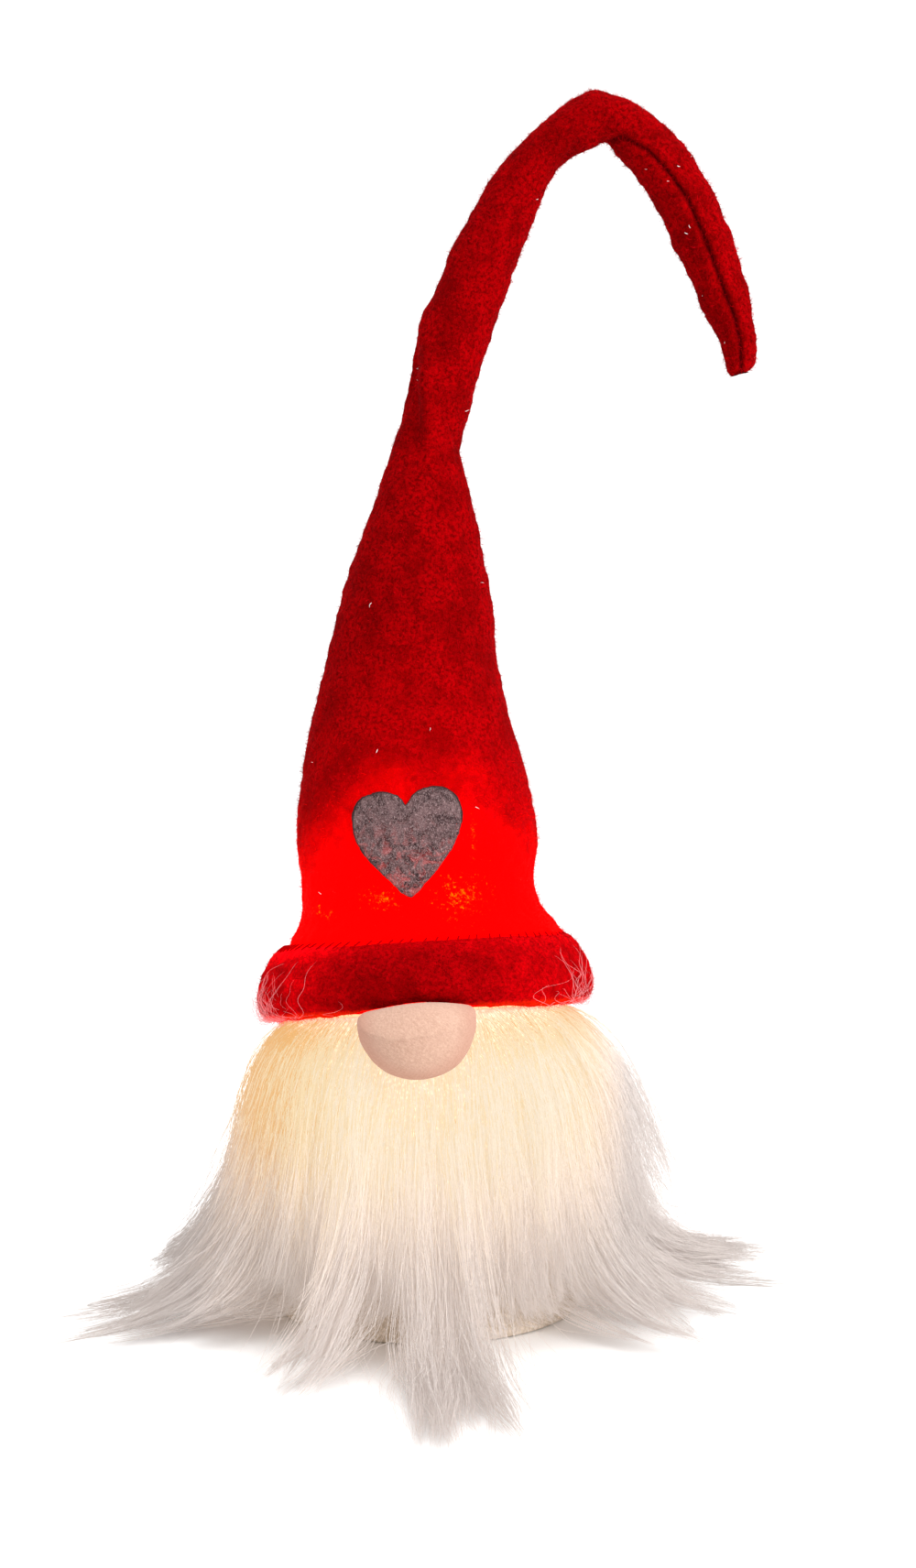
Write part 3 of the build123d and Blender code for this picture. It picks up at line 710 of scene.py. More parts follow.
# Left and right side of the felt tube, seen from the front (x, z, x, z), then where its middle is in depth,
# its half depth, and how much higher its front is than its back.
HAT_SIDES = [
    (-50.7, 107.9, 50.0, 114.1, -1.9, 50.3, 0.18),
    (-51.2, 119.0, 49.2, 125.0, 0.0, 50.3, 0.18),
    (-51.4, 130.4, 48.8, 136.0, 1.9, 50.2, 0.18),
    (-51.0, 135.6, 52.0, 138.2, 2.3, 50.0, 0.17),
    (-48.2, 141.4, 49.0, 142.6, 2.8, 48.0, 0.16),
    (-46.6, 147.6, 43.8, 148.6, 3.5, 45.8, 0.12),
    (-47.0, 156.0, 40.6, 156.5, 4.5, 44.3, 0.08),
    (-49.0, 177.5, 41.3, 177.5, 7.0, 44.8, 0.03),
    (-47.1, 198.0, 37.5, 198.0, 9.5, 42.0, 0.0),
    (-43.6, 218.6, 31.3, 218.6, 11.5, 37.5, 0.0),
    (-38.4, 239.0, 26.5, 239.0, 12.5, 32.8, 0.0),
    (-33.6, 259.4, 24.8, 259.4, 13.0, 29.4, 0.0),
    (-27.4, 280.0, 21.4, 280.0, 13.0, 24.8, 0.0),
    (-19.9, 300.0, 17.3, 300.0, 13.0, 20.0, 0.0),
    (-15.8, 313.0, 13.9, 313.0, 13.0, 17.0, 0.0),
    (-13.4, 320.0, 12.2, 319.6, 13.0, 15.8, 0.0),
    (-11.3, 326.0, 13.3, 324.6, 13.0, 15.5, 0.0),
    (-8.7, 334.5, 15.2, 332.4, 12.8, 15.0, 0.0),
    (-5.8, 350.0, 18.1, 344.0, 12.3, 14.6, 0.0),
    (-2.0, 368.0, 23.7, 361.0, 11.5, 14.2, 0.0),
    (4.4, 382.0, 28.0, 373.0, 10.5, 13.5, 0.0),
    (9.6, 394.8, 32.7, 386.5, 9.5, 12.8, 0.0),
    (16.3, 406.3, 37.7, 399.8, 8.5, 12.0, 0.0),
    (23.6, 418.9, 43.0, 412.9, 7.3, 11.4, 0.0),
    (31.6, 428.4, 47.7, 421.2, 6.3, 10.8, 0.0),
    (41.6, 437.9, 53.6, 426.8, 5.4, 10.4, 0.0),
    (51.6, 446.1, 59.4, 429.0, 4.7, 10.6, 0.0),
    (61.8, 450.0, 64.4, 431.6, 4.2, 11.0, 0.0),
    (73.5, 446.5, 66.4, 431.2, 3.7, 10.9, 0.0),
    (85.7, 438.2, 70.1, 426.1, 2.4, 10.5, 0.0),
    (94.1, 429.4, 76.1, 419.5, 0.4, 10.3, 0.0),
    (103.6, 414.6, 84.6, 406.3, -1.4, 10.3, 0.0),
    (110.1, 399.8, 90.3, 393.1, -3.0, 10.0, 0.0),
    (114.9, 385.5, 96.8, 379.9, -4.5, 9.3, 0.0),
    (118.4, 370.6, 102.3, 366.7, -6.0, 8.3, 0.0),
    (119.8, 362.7, 107.0, 359.3, -6.6, 6.8, 0.0),
    (120.7, 356.0, 108.8, 354.0, -7.0, 6.2, 0.0),
    (120.2, 352.2, 109.2, 350.8, -7.1, 5.6, 0.0),
]
# The sewn seam shows on the face side of the hanging end, from the kink to the tip (x, z).
SEAM_LINE = [(64.5, 430.5), (71.4, 431.6), (80.4, 426.4), (88.7, 417.0), (94.3, 409.0), (100.1, 395.8),
             (104.6, 384.1), (108.3, 374.2), (111.7, 366.0), (113.6, 357.8), (114.4, 346.0)]
NECK_RIDGE = [(-1.0, 372.0), (0.2, 350.0), (0.8, 333.0), (1.8, 314.0)]
NECK_CREASE = [(13.4, 320.4), (9.9, 326.0), (7.4, 331.6), (5.0, 339.0)]
KINK_FOLD = [(51.0, 424.5), (54.5, 429.5), (59.5, 433.5), (66.0, 436.0)]
HAT_STEP, HAT_AROUND, HAT_SPLIT = 1.25, 184, 385.0


def hat_grid():
    """Points of the felt's outer face, ring after ring from under the brim to the tip, the seam's shade, and
    the way out from the middle at each point."""
    sides = np.array(HAT_SIDES)
    middle = np.stack([(sides[:, 0] + sides[:, 2]) / 2, sides[:, 4], (sides[:, 1] + sides[:, 3]) / 2], axis=1)
    knots = distances(middle)
    along = np.linspace(0, knots[-1], int(knots[-1] / HAT_STEP))
    rows = through(knots, sides, along)
    left, right = rows[:, [0, 1]], rows[:, [2, 3]]
    # The end closes in a blunt round of a few rings.
    way = unit(middle[-1] - middle[-2])
    cap = np.linspace(0, np.pi / 2, 8)[1:]
    centre = np.stack([(left[:, 0] + right[:, 0]) / 2, rows[:, 4], (left[:, 1] + right[:, 1]) / 2], axis=1)
    half = np.stack([(left[:, 0] - right[:, 0]) / 2, np.zeros(len(rows)), (left[:, 1] - right[:, 1]) / 2],
                    axis=1)
    depth, tilt = rows[:, 5], rows[:, 6]
    centre = np.concatenate([centre, centre[-1] + 4.6 * np.sin(cap)[:, None] * way])
    half = np.concatenate([half, half[-1] * np.maximum(np.cos(cap), 0.02)[:, None] ** 0.8])
    depth = np.concatenate([depth, depth[-1] * np.maximum(np.cos(cap), 0.02) ** 0.8])
    tilt = np.concatenate([tilt, np.zeros(len(cap))])
    turn = full_turn(HAT_AROUND)
    across = half[:, None, :] * np.cos(turn)[None, :, None]
    fore = np.zeros_like(across)
    fore[..., 1] = -depth[:, None] * np.sin(turn)
    fore[..., 2] = tilt[:, None] * depth[:, None] * np.sin(turn)
    points = centre[:, None, :] + across + fore
    outward = unit(across + fore + 1e-6)
    lift = 0.5 * lumps(points, 11.0) + 0.5 * lumps(points, 4.5, 7.0) + 0.36 * lumps(points, 2.2, 31.0)
    x, z = points[..., 0], points[..., 2]
    front = step_up(np.sin(turn)[None, :], 0.0, 0.25)
    off, _ = near_line(x, z, SEAM_LINE)
    # Painted shade along the seam's groove.
    seam_shade = front * bell(off, 0.75)
    lift += front * (0.5 * bell(off - 2.6, 1.6) - 1.3 * bell(off, 0.9))
    off, part = near_line(x, z, NECK_RIDGE)
    lift += front * np.sin(np.pi * part) * 3.2 * bell(off, 3.4)
    off, part = near_line(x, z, [(a - 5.4, b) for a, b in NECK_RIDGE])
    lift -= front * np.sin(np.pi * part) * 2.6 * bell(off, 2.6)
    off, part = near_line(x, z, NECK_CREASE)
    lift -= front * (1 - part) * 1.8 * bell(off, 1.3)
    off, part = near_line(x, z, KINK_FOLD)
    lift -= front * (1 - part) * 1.3 * bell(off, 1.0)
    # The fold at the kink gets painted shade too, stored with the seam's.
    seam_shade = np.maximum(seam_shade, 0.5 * front * (1 - part) * bell(off, 0.8))
    # The tip is drawn in by the seam, which leaves two lobes, the left one lower.
    points = points + lift[..., None] * outward
    lobe = step_up(points[..., 2], 356.0, 349.0) * (points[..., 0] > 105)
    points[..., 2] -= lobe * 1.4 * step_up(points[..., 0], 115.5, 111.0)
    return points, seam_shade, outward


def hat_piece(name, points, seam_shade, rows, material, normals):
    """Closed felt wall between two rings: the outer face, and an inner face one felt thickness inside."""
    outer = points[rows]
    inner_rows = np.unique(np.linspace(0, len(outer) - 1, max(len(outer) // 4, 8)).astype(int))
    inner = (outer - FELT * normals[rows])[inner_rows][::-1]
    grid = np.concatenate([outer, inner])
    mesh = mesh_of(name, grid.reshape(-1, 3), loop_faces(len(grid), HAT_AROUND))
    made = link(name, mesh, [material])
    shade = mesh.attributes.new("seam_shade", "FLOAT", "POINT")
    dark = np.concatenate([seam_shade[rows].ravel(), np.zeros(inner.size // 3)])
    shade.data.foreach_set("value", dark.astype(np.float32))
    keep_rest(mesh)
    facing = np.concatenate([normals[rows], -(normals[rows][inner_rows][::-1])]).reshape(-1, 3)
    mesh.normals_split_custom_set_from_vertices(facing.tolist())
    return made


def keep_rest(mesh):
    """Stores where each point is at rest, which the felt's pattern follows."""
    place = np.zeros(len(mesh.vertices) * 3, np.float32)
    mesh.vertices.foreach_get("co", place)
    stored = mesh.attributes.new("rest", "FLOAT_VECTOR", "POINT")
    stored.data.foreach_set("vector", place)


def make_hat():
    points, seam_shade, outward = hat_grid()
    normals = grid_normals(points)
    # Where the kink folds the grid over itself, the outward direction is safer.
    turned = (normals * outward).sum(axis=-1, keepdims=True) < 0.35
    normals = np.where(turned, outward, normals)
    felt = hat_felt()
    height = points[:, :, 2].mean(axis=1)
    split = int(np.argmax(height > HAT_SPLIT))
    lower = hat_piece("hat_lower", points, seam_shade, np.arange(0, split + 1), felt, normals)
    upper = hat_piece("hat_upper", points, seam_shade, np.arange(split, len(points)), felt, normals)
    for piece, nodes in ((lower, ("hat_cone", "hat_mid")), (upper, ("hat_tip",))):
        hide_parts(*nodes)
    return points, normals, split, lower, upper


# ---- Brim -----------------------------------------------------------------------------------
STITCHES = 82
# How much higher, and how much nearer the axis, the brim's upper edge is at its sides than in front and behind.
CUFF_RISE, CUFF_DRAW = 1.6, 0.4
# Section of the roll: distance from the brim's axis and height along it, round from its inner side.
CUFF_SECTION = [(51.2, -9.6), (50.8, 0.0), (50.6, 9.0), (51.0, 12.4), (52.8, 13.2), (55.4, 12.0), (58.4, 8.8),
                (60.9, 4.4), (62.3, -0.6), (62.5, -5.2), (61.2, -8.8), (58.4, -11.0), (54.4, -11.4),
                (51.2, -9.6)]


def nose_lift(x, y):
    """How far the nose pushes the brim's lower fold up."""
    return 3.3 * bell(x + 2.0, 21.0) * step_up(-y, 20.0, 45.0)


def cuff_grid(around=492, section=64):
    """The turned-up edge: a soft roll that leans on the cone, puckered by its stitches."""
    outline = np.array(CUFF_SECTION)
    knots = distances(outline)
    outline = through(knots, outline, np.linspace(0, knots[-1], section + 1)[:-1])[None]
    turn = full_turn(around)[:, None]
    radius, high = outline[..., 0], outline[..., 1]
    outer = step_up(radius, 52.0, 59.0)
    top = step_up(high, 4.0, 12.0)
    side = np.cos(turn) ** 2
    waves = 0.5 * np.sin(3 * turn + 0.7) + 0.4 * np.sin(5 * turn + 2.0) + 0.3 * np.sin(9 * turn + 4.0)
    pucker = (np.abs(np.sin(STITCHES / 2 * turn)) - 0.6) * (0.6 + 0.4 * np.sin(7 * turn))
    radius = radius + outer * (0.5 * waves) + top * (0.25 * pucker - CUFF_DRAW * side)
    high = high + top * (0.35 * pucker + 0.4 * waves + CUFF_RISE * side) + 0.4 * waves * step_up(-high, 4, 11)
    high = high + nose_lift(radius * np.cos(turn), radius * np.sin(turn)) * (1 - step_up(high, -8.0, 6.0))
    points = brim_point(radius, turn + 0 * radius, high)
    normals = grid_normals(points)
    lift = 0.6 * lumps(points, 10.0, 3.0) + 0.5 * lumps(points, 4.0, 9.0) + 0.34 * lumps(points, 2.0, 5.0)
    return points + (lift * (0.25 + 0.75 * outer))[..., None] * normals


def make_brim():
    points = cuff_grid()
    mesh = mesh_of("brim_cuff_felt", points.reshape(-1, 3), loop_faces(*points.shape[:2]))
    cuff = link("brim_cuff_felt", mesh, [brim_felt()])
    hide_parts("brim_cuff")
    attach(cuff, "root")
    return points


def make_stitches():
    """Short hand stitches that tie the brim's upper edge to the cone."""
    rng = np.random.default_rng(SEED + 3)
    turn = 2 * np.pi * (np.arange(STITCHES) + 0.15 * rng.standard_normal(STITCHES)) / STITCHES
    spots = ((55.0, 12.3), (54.2, 13.1), (53.2, 13.8), (52.2, 14.4), (51.4, 14.8))
    lean = np.linspace(-0.02, 0.02, len(spots))
    side = np.cos(turn) ** 2
    paths = np.stack([brim_point(r - CUFF_DRAW * side, turn + shift, h + CUFF_RISE * side)
                      for (r, h), shift in zip(spots, lean)], axis=1)
    radii = np.full(paths.shape[:2], 0.3)
    across = tangents(turn)
    look = Look("stitch_thread", roughness=0.9, specular_ior_level=0.0, base_color=rgb(0.16, 0.0, 0.001))
    # Painted glow: the thread glows red like the lit felt around it.
    look.put(emission_color=rgb(1.0, 0.0, 0.0))
    look.put(emission_strength=0.3)
    finish = np.zeros((STITCHES, len(spots) - 1))
    made = strands("brim_stitches", paths, radii, across, [look.material], finish, sides=6)
    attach(made, "root")


# ---- Heart ----------------------------------------------------------------------------------
HEART_MIDDLE = (-6.3, 179.0)
# Half outlines from the notch round to the point, as (x, z); the right lobe is taller, the left one flatter.
HEART_RIGHT = [(-6.8, 192.3), (-4.0, 196.0), (0.8, 198.6), (5.8, 198.7), (10.2, 196.2), (12.6, 191.4),
               (12.6, 185.4), (10.0, 178.6), (5.4, 171.6), (0.4, 165.2), (-3.2, 161.2), (-4.8, 160.0)]
HEART_LEFT = [(-4.8, 160.0), (-7.0, 161.0), (-12.0, 165.4), (-18.0, 171.0), (-22.8, 177.0), (-25.4, 183.6),
              (-25.4, 189.6), (-22.4, 194.4), (-17.8, 196.4), (-12.6, 196.6), (-8.8, 194.8), (-6.8, 192.3)]
HEART_THICK = 1.6


def smooth_side(line, count):
    line = np.array(line, float)
    knots = distances(line)
    return through(knots, line, np.linspace(0, knots[-1], count + 1))[:-1]


def make_heart(hat_points):
    """Cut felt heart that follows the cone, one felt thickness proud of it."""
    edge = np.concatenate([smooth_side(HEART_RIGHT, 90), smooth_side(HEART_LEFT, 90)]) - (0.3, 1.4)
    cone = mesh_of("cone_guide", hat_points.reshape(-1, 3), grid_faces(*hat_points.shape[:2]))
    tree = BVHTree.FromPolygons([v.co for v in cone.vertices], [list(p.vertices) for p in cone.polygons])
    bpy.data.meshes.remove(cone)

    def lay(x, z, lift):
        hit, facing, _, _ = tree.ray_cast(Vector((x, -200, z)) * MM, Vector((0, 1, 0)))
        return np.array(hit) / MM + np.array(facing) * (lift if facing[1] < 0 else -lift)

    shares = [0.06] + list(np.linspace(0.14, 1.0, 20))
    middle = np.array(HEART_MIDDLE)
    rings = [middle + share * (edge - middle) for share in shares]
    front, back = (np.array([[lay(x, z, lift) for x, z in ring] for ring in rings])
                   for lift in (HEART_THICK, 0.05))
    # Even out the cone's own lumps, and add the heart's.
    for grid in (front, back):
        for _ in range(2):
            grid[:, :, 1] = (grid[:, :, 1] + np.roll(grid[:, :, 1], 1, 1) + np.roll(grid[:, :, 1], -1, 1)) / 3
    front[..., 1] -= 0.22 * lumps(front, 3.5, 2.0) + 0.12 * lumps(front, 1.4, 12.0)
    rim = step_up(np.array(shares), 0.93, 1.0)[:, None]
    front[..., 1] += 0.5 * rim
    ragged = 0.16 * lumps(front[-1:], 1.3, 4.0)
    out = unit(front[-1] - front[-3])
    front[-1] += ragged[0][:, None] * out
    belly = (front[-1] + back[-1]) / 2 + 0.28 * out
    grid = np.concatenate([front, belly[None], back[::-1]])
    mesh = capped_mesh("heart_felt", grid, np.stack([front[0].mean(axis=0), back[0].mean(axis=0)]))
    made = link("heart_felt", mesh, [grey_felt()])
    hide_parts("heart_patch")
    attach(made, "root")
    return front


# ---- Nose -----------------------------------------------------------------------------------
def make_nose():
    """Stuffed cloth ball, pressed flat by the brim above it and by the pile's backing behind it."""
    rows, around = 90, 144
    fall = np.linspace(0.012, np.pi - 0.012, rows)[:, None]
    turn = -full_turn(around)[None, :]
    ways = np.stack([np.sin(fall) * np.cos(turn), -np.cos(fall) + 0 * turn, np.sin(fall) * np.sin(turn)],
                    axis=-1)
    points = NOSE_CENTRE + NOSE_R * ways
    dents = 0.55 * lumps(points, 13.0, 5.0) + 0.22 * lumps(points, 5.0, 1.0)
    points = points + (0.25 + np.maximum(dents, -0.2))[..., None] * ways
    # Its depth is squeezed, and it is pressed by the brim's lower fold and rounds over in front of it.
    front = points[..., 1] + NOSE_REST
    points[..., 1] -= np.where(front < 0, NOSE_SQUEEZE * front, 0.0)
    above = (points - BRIM_CENTRE) @ BRIM_UP + CUFF_HIGH / 2 + 0.4 - nose_lift(points[..., 0], points[..., 1])
    above = above + 0.035 * np.maximum(np.hypot(points[..., 0], points[..., 1]) - 62.0, 0.0) ** 2
    points = points - (0.5 * (above + np.hypot(above, 2.4)))[..., None] * BRIM_UP
    # Pressed by the backing.
    reach = np.hypot(points[..., 0], points[..., 1])
    push = np.maximum(NOSE_REST - reach, 0.0)
    out = np.stack([points[..., 0] / reach, points[..., 1] / reach, 0 * reach], axis=-1)
    points = points + push[..., None] * out
    mesh = capped_mesh("nose_ball", points, np.stack([points[0].mean(axis=0), points[-1].mean(axis=0)]))
    made = link("nose_ball", mesh, [nose_cloth()])
    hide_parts("nose_cover", "nose_filling")
    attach(made, "root")


# ---- Pile -----------------------------------------------------------------------------------
BACKING = [(0.0, 57.0), (84.0, 57.0), (104.0, 52.5), (130.0, 49.5)]
FLOOR = 0.5


def backing_radius(z):
    heights, radii = zip(*BACKING)
    return np.interp(z, heights, radii)


def brim_height(x, y):
    """Height of the brim's lower edge over (x, y)."""
    low = BRIM_CENTRE - BRIM_UP * CUFF_HIGH / 2
    return low[2] - ((x - low[0]) * BRIM_UP[0] + (y - low[1]) * BRIM_UP[1]) / BRIM_UP[2]


def make_backing():
    """Knitted sleeve under the pile, drawn in below the brim."""
    rows, around, thick = 60, 200, 2.0
    turn = full_turn(around)[None, :]
    share = np.linspace(0, 1, rows)[:, None]
    top = brim_height(50 * np.cos(turn), 50 * np.sin(turn)) - 0.8
    z = 0.8 + share * (top - 0.8)
    radius = backing_radius(z) + 0.25 * np.sin(16 * turn) * step_up(z, 80, 110)
    outer, inner = (np.stack([r * np.cos(turn), r * np.sin(turn), z + 0 * turn], axis=-1)
                    for r in (radius, radius - thick))
    grid = np.concatenate([outer, inner[::-1]])
    mesh = mesh_of("pile_backing_sleeve", grid.reshape(-1, 3), loop_faces(len(grid), around))
    made = link("pile_backing_sleeve", mesh, [knit_backing()])
    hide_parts("fur_backing")
    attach(made, "root")
    return made


# Locks that reach out over the floor: where each ends (x, y), how wide a fan of pile it gathers in degrees,
# how strongly, how far its fibres' ends scatter to each side, and how high off the floor it stays.
TUFTS = [
    (-142, -35, 5, 0.97, 4, 1), (-122, -62, 4, 0.95, 4, 1), (-98, -38, 8, 0.9, 6, 4),
    (-82, -56, 6, 0.75, 5, 7), (-48, -104, 3.5, 0.93, 4, 2), (-42, -124, 2.5, 0.9, 3, 1),
    (8, -200, 6, 0.98, 4, 1), (20, -164, 3, 0.9, 4, 1), (41, -198, 2.4, 0.97, 3, 1),
    (48, -72, 3, 0.4, 4, 9), (78, -62, 3, 0.75, 4, 3), (98, -50, 5, 0.7, 5, 8), (104, -14, 10, 0.95, 6, 17),
    (162, -17, 4, 0.97, 3, 8), (112, 18, 6, 0.8, 5, 12), (-86, 10, 12, 0.7, 8, 2), (-74, 44, 14, 0.6, 9, 1),
    (-54, 70, 16, 0.7, 10, 1), (-8, 92, 16, 0.7, 10, 1), (48, 80, 16, 0.7, 10, 1), (78, 52, 14, 0.6, 9, 2),
]
# Directions in degrees, and widths, where the pile ends short of the floor between the locks.
GAPS = [(-140, 5), (-126, 8), (-68, 7), (-54, 7), (-29, 3), (-13, 3), (-166, 3)]
GLOW_LEVELS, WARMTHS = 12, 3
# The longest fibre, and how far fibres may reach each way.
LONGEST = 186.0
LEFT_END, RIGHT_END, FRONT_END, BACK_END = -143.0, 149.0, -178.0, 104.0
FIBRES, LOCKS = ((28000, 1700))
FIBRES_PER_PIECE = 2400
# Height over which the roots of the pile are spread.
PILE_HIGH = 118.0


def pile_materials():
    """Acrylic fibre in every strength and warmth of the lamp's light, over a faint painted glow that lifts the
    shade among the fibres; each picks its own along its length.
    A fibre is far thinner than any pattern on it, so these are plain and the pattern is in the choice."""
    shares = np.linspace(0, 1, GLOW_LEVELS)
    base = through((0, 0.25, 1), ((0.54, 0.49, 0.465), (0.56, 0.485, 0.44), (0.2, 0.17, 0.13)), shares)
    # Painted glow that every fibre has, lifting the shade among the fibres.
    shade_lift_glow = np.array([1.0, 0.87, 0.81])
    glows = np.array([(1.0, 0.87, 0.69), (1.0, 0.78, 0.47), (1.0, 0.56, 0.2)])
    materials = []
    for share, skin in zip(shares, base):
        for warmth, glow in enumerate(glows):
            look = Look(f"white_pile_{round(share * 100)}_{warmth}", roughness=0.6, specular_ior_level=0.15)
            # The fibre's own colour is painted darker the more it glows, and the warmer copies darker again:
            # painted shade.
            look.put(base_color=rgb(*(skin * (1.0, 0.92, 0.74)[warmth])))
            look.put(emission_color=rgb(*(shade_lift_glow + (glow - shade_lift_glow) * min(1.0, 1.6 * share))))
            look.put(emission_strength=0.2 + 0.57 * share)
            materials.append(look.material)
    return materials


def spread(count, rng):
    """Even, slightly jittered places in the unit square."""
    i = np.arange(count)
    u = (i * 0.7548776662 + 0.1 * rng.random(count) / math.sqrt(count)) % 1.0
    v = (i * 0.5698402910 + 0.1 * rng.random(count) / math.sqrt(count)) % 1.0
    return u, v


def angle_between(a, b):
    return (a - b + np.pi) % (2 * np.pi) - np.pi


def nearest(places, centres):
    """Index of the centre nearest to each place, a block at a time."""
    found = np.empty(len(places), int)
    for start in range(0, len(places), 2000):
        block = places[start:start + 2000]
        found[start:start + 2000] = ((block[:, None, :] - centres[None]) ** 2).sum(axis=2).argmin(axis=1)
    return found


def on_backing(azimuth, height):
    """Place used to sort fibres into locks, which are longer than they are wide."""
    return np.stack([57 * np.cos(azimuth), 57 * np.sin(azimuth), 0.6 * height], axis=1)


def pile_paths(count, locks, rng, steps=14):
    """Fibre paths from the backing: out, down over the fibres below, and along the floor to the tufts."""
    u, v = spread(count, rng)
    azimuth = 2 * np.pi * u
    x0, y0 = np.cos(azimuth), np.sin(azimuth)
    top = brim_height(50 * x0, 50 * y0) - 0.6
    height = 3.0 + (top - 3.0) * v ** 0.85
    lu, lv = spread(locks, rng)
    lock_azimuth, lock_height = 2 * np.pi * lu, 3.0 + 115 * lv ** 0.85
    lock = nearest(on_backing(azimuth, height), on_backing(lock_azimuth, lock_height))

    def per_lock(low, high):
        return rng.uniform(low, high, locks)[lock]

    # What each lock does: the tuft that draws it in, and its own place in that tuft.
    tips = np.array([t[:2] for t in TUFTS], float)
    fans, pulls, scatter, lifts = (np.array([t[k] for t in TUFTS], float) for k in (2, 3, 4, 5))
    tip_angles = np.arctan2(tips[:, 1], tips[:, 0])
    off = np.abs(angle_between(lock_azimuth[:, None], tip_angles[None])) / np.radians(fans)[None]
    chosen = off.argmin(axis=1)
    gather = pulls[chosen] * (1 - step_up(off.min(axis=1), 0.6, 1.35)) * (rng.random(locks) < 0.94)
    sideways = tangents(tip_angles)[chosen, :2]
    target = tips[chosen] * rng.uniform(0.8, 1.02, locks)[:, None]
    target = target + (scatter[chosen] * rng.normal(0, 0.8, locks))[:, None] * sideways
    gap = np.zeros(locks)
    for middle, wide in GAPS:
        gap = np.maximum(gap, bell(np.degrees(angle_between(lock_azimuth, math.radians(middle))), wide))
    gap *= 1 - 0.5 * gather
    gather *= 1 - 0.8 * gap
    lift = (lifts[chosen] * rng.uniform(0.5, 1.3, locks))[lock]
    gather, target, gap = gather[lock], target[lock], gap[lock]

    front = step_up(-np.sin(azimuth), -0.35, 0.1)
    share = height / PILE_HIGH
    shoulder = step_up(height, 78, 116)
    stray = rng.random(count) < 0.11
    # How far the fibre stands off before it falls, and its length.
    stand = per_lock(4.0, 11.0) + rng.uniform(-1.5, 9.0, count) * (0.4 + 0.6 * share)
    stand = stand + 5.0 * shoulder * rng.random(count)
    right = np.maximum(np.cos(azimuth), 0) ** 2
    stand = stand * (0.74 + 0.26 * front) * (1 + 1.35 * right * step_up(height, 84, 110))
    length = (36 + 62 * share) * per_lock(0.8, 1.15) * rng.uniform(0.8, 1.1, count) * (0.8 + 0.2 * front)
    lean = np.radians(per_lock(-13, 13) + rng.normal(0, 6, count) + stray * rng.normal(0, 34, count))
    start_tilt = np.radians(rng.uniform(52, 76, count) + 16 * shoulder * rng.random(count))
    hang = np.radians(per_lock(0.0, 7.0) + rng.normal(0, 2.0, count) + 1.5 * front)
    flick = np.radians(per_lock(-6.0, 34.0)) * (1 - gap)
    root_r = backing_radius(height)
    root = np.stack([root_r * x0, root_r * y0, height], axis=1)
    to_tip = np.linalg.norm(target - root[:, :2], axis=1)
    reach = to_tip * per_lock(0.62, 1.1) * (0.45 + 0.6 * rng.random(count) ** 1.3)
    low_root = 1 - step_up(height, 66, 104)
    drawn = (gather > 0.25) & (rng.random(count) < low_root)
    length = np.where(drawn, np.clip(height + 4 + reach, length, LONGEST), length)
    hem_at = 2 + 7 * front * per_lock(0.4, 1.3)
    to_hem = (height - hem_at) * per_lock(0.75, 1.05) * rng.uniform(0.9, 1.0, count)
    hem = np.minimum(length, np.maximum(to_hem, 3.0))
    short = np.where(drawn, gap, np.maximum(gap, 0.9))
    length = length * (1 - short) + short * hem
    floor_at = FLOOR + rng.uniform(0.0, 2.5, count) + 6.0 * share * rng.random(count)
    floor_at = floor_at + np.where(drawn, lift, 0.0)
    # Drawn locks leave the body higher up and slope down to the floor.
    flare = 7.0 + 10.0 * share + rng.uniform(0, 5.0, count) + np.where(drawn, 16.0 - 0.7 * lift, 0.0)
    flare = flare * (1 - 0.75 * gap)

    times = np.linspace(0, 1, steps) ** 1.25
    spot = root.copy()
    paths = [spot.copy()]
    # Fibres head for a place well past their tuft, so that their own length ends them.
    beyond = root[:, :2] + 1.45 * (target - root[:, :2])
    for before, now in zip(times, times[1:]):
        run, gone = length * (now - before), length * (before + now) / 2
        tilt = hang + (start_tilt - hang) * np.exp(-gone / stand) + flick * step_up(gone / length, 0.5, 1.0)
        tilt = tilt + (np.pi / 2 - tilt) * np.exp(-np.maximum(spot[:, 2] - floor_at, 0) / flare)
        outward = np.arctan2(spot[:, 1], spot[:, 0]) + lean
        aim = np.arctan2(beyond[:, 1] - spot[:, 1], beyond[:, 0] - spot[:, 0])
        heading = outward + angle_between(aim, outward) * gather * step_up(gone / length, 0.05, 0.5)
        step = np.stack([np.sin(tilt) * np.cos(heading), np.sin(tilt) * np.sin(heading), -np.cos(tilt)],
                        axis=1)
        spot = spot + run[:, None] * step
        spot[:, 2] = np.maximum(spot[:, 2], np.minimum(floor_at, 6.0) * 0.5 + 0.25)
        paths.append(spot.copy())
    paths = np.stack(paths, axis=1)

    # Fibres wander, together within a lock and a little each; strays curl more.
    gone = length[:, None] * times[None, :]
    tangent = tangents(azimuth)
    outward = np.stack([np.cos(azimuth), np.sin(azimuth), 0 * azimuth], axis=1)

    def wave(size, pace_low, pace_high):
        pace, phase = rng.uniform(pace_low, pace_high, count)[:, None], rng.uniform(0, 6.28, count)[:, None]
        pace = pace * np.maximum(length / 70, 1.0)[:, None]
        return size[:, None] * np.sin(gone / pace + phase)

    swing = per_lock(0.4, 2.2)[:, None] * np.sin(gone / per_lock(7, 12)[:, None] + per_lock(0, 6.28)[:, None])
    growth = step_up(times, 0.05, 0.6)[None, :]
    curl = np.where(stray, rng.uniform(1.0, 4.5, count), rng.uniform(0.15, 0.8, count))
    curl = curl * (1 + 0.6 * stray * (np.cos(azimuth) > 0.5)) * np.minimum(80 / length, 1.0)
    paths += ((swing + wave(curl, 3.5, 9.0)) * growth)[..., None] * tangent[:, None, :]
    puff = rng.uniform(-1.0, 1.2, count)[:, None] + wave(0.6 * curl, 4.0, 10.0)
    paths += (puff * growth)[..., None] * outward[:, None, :]

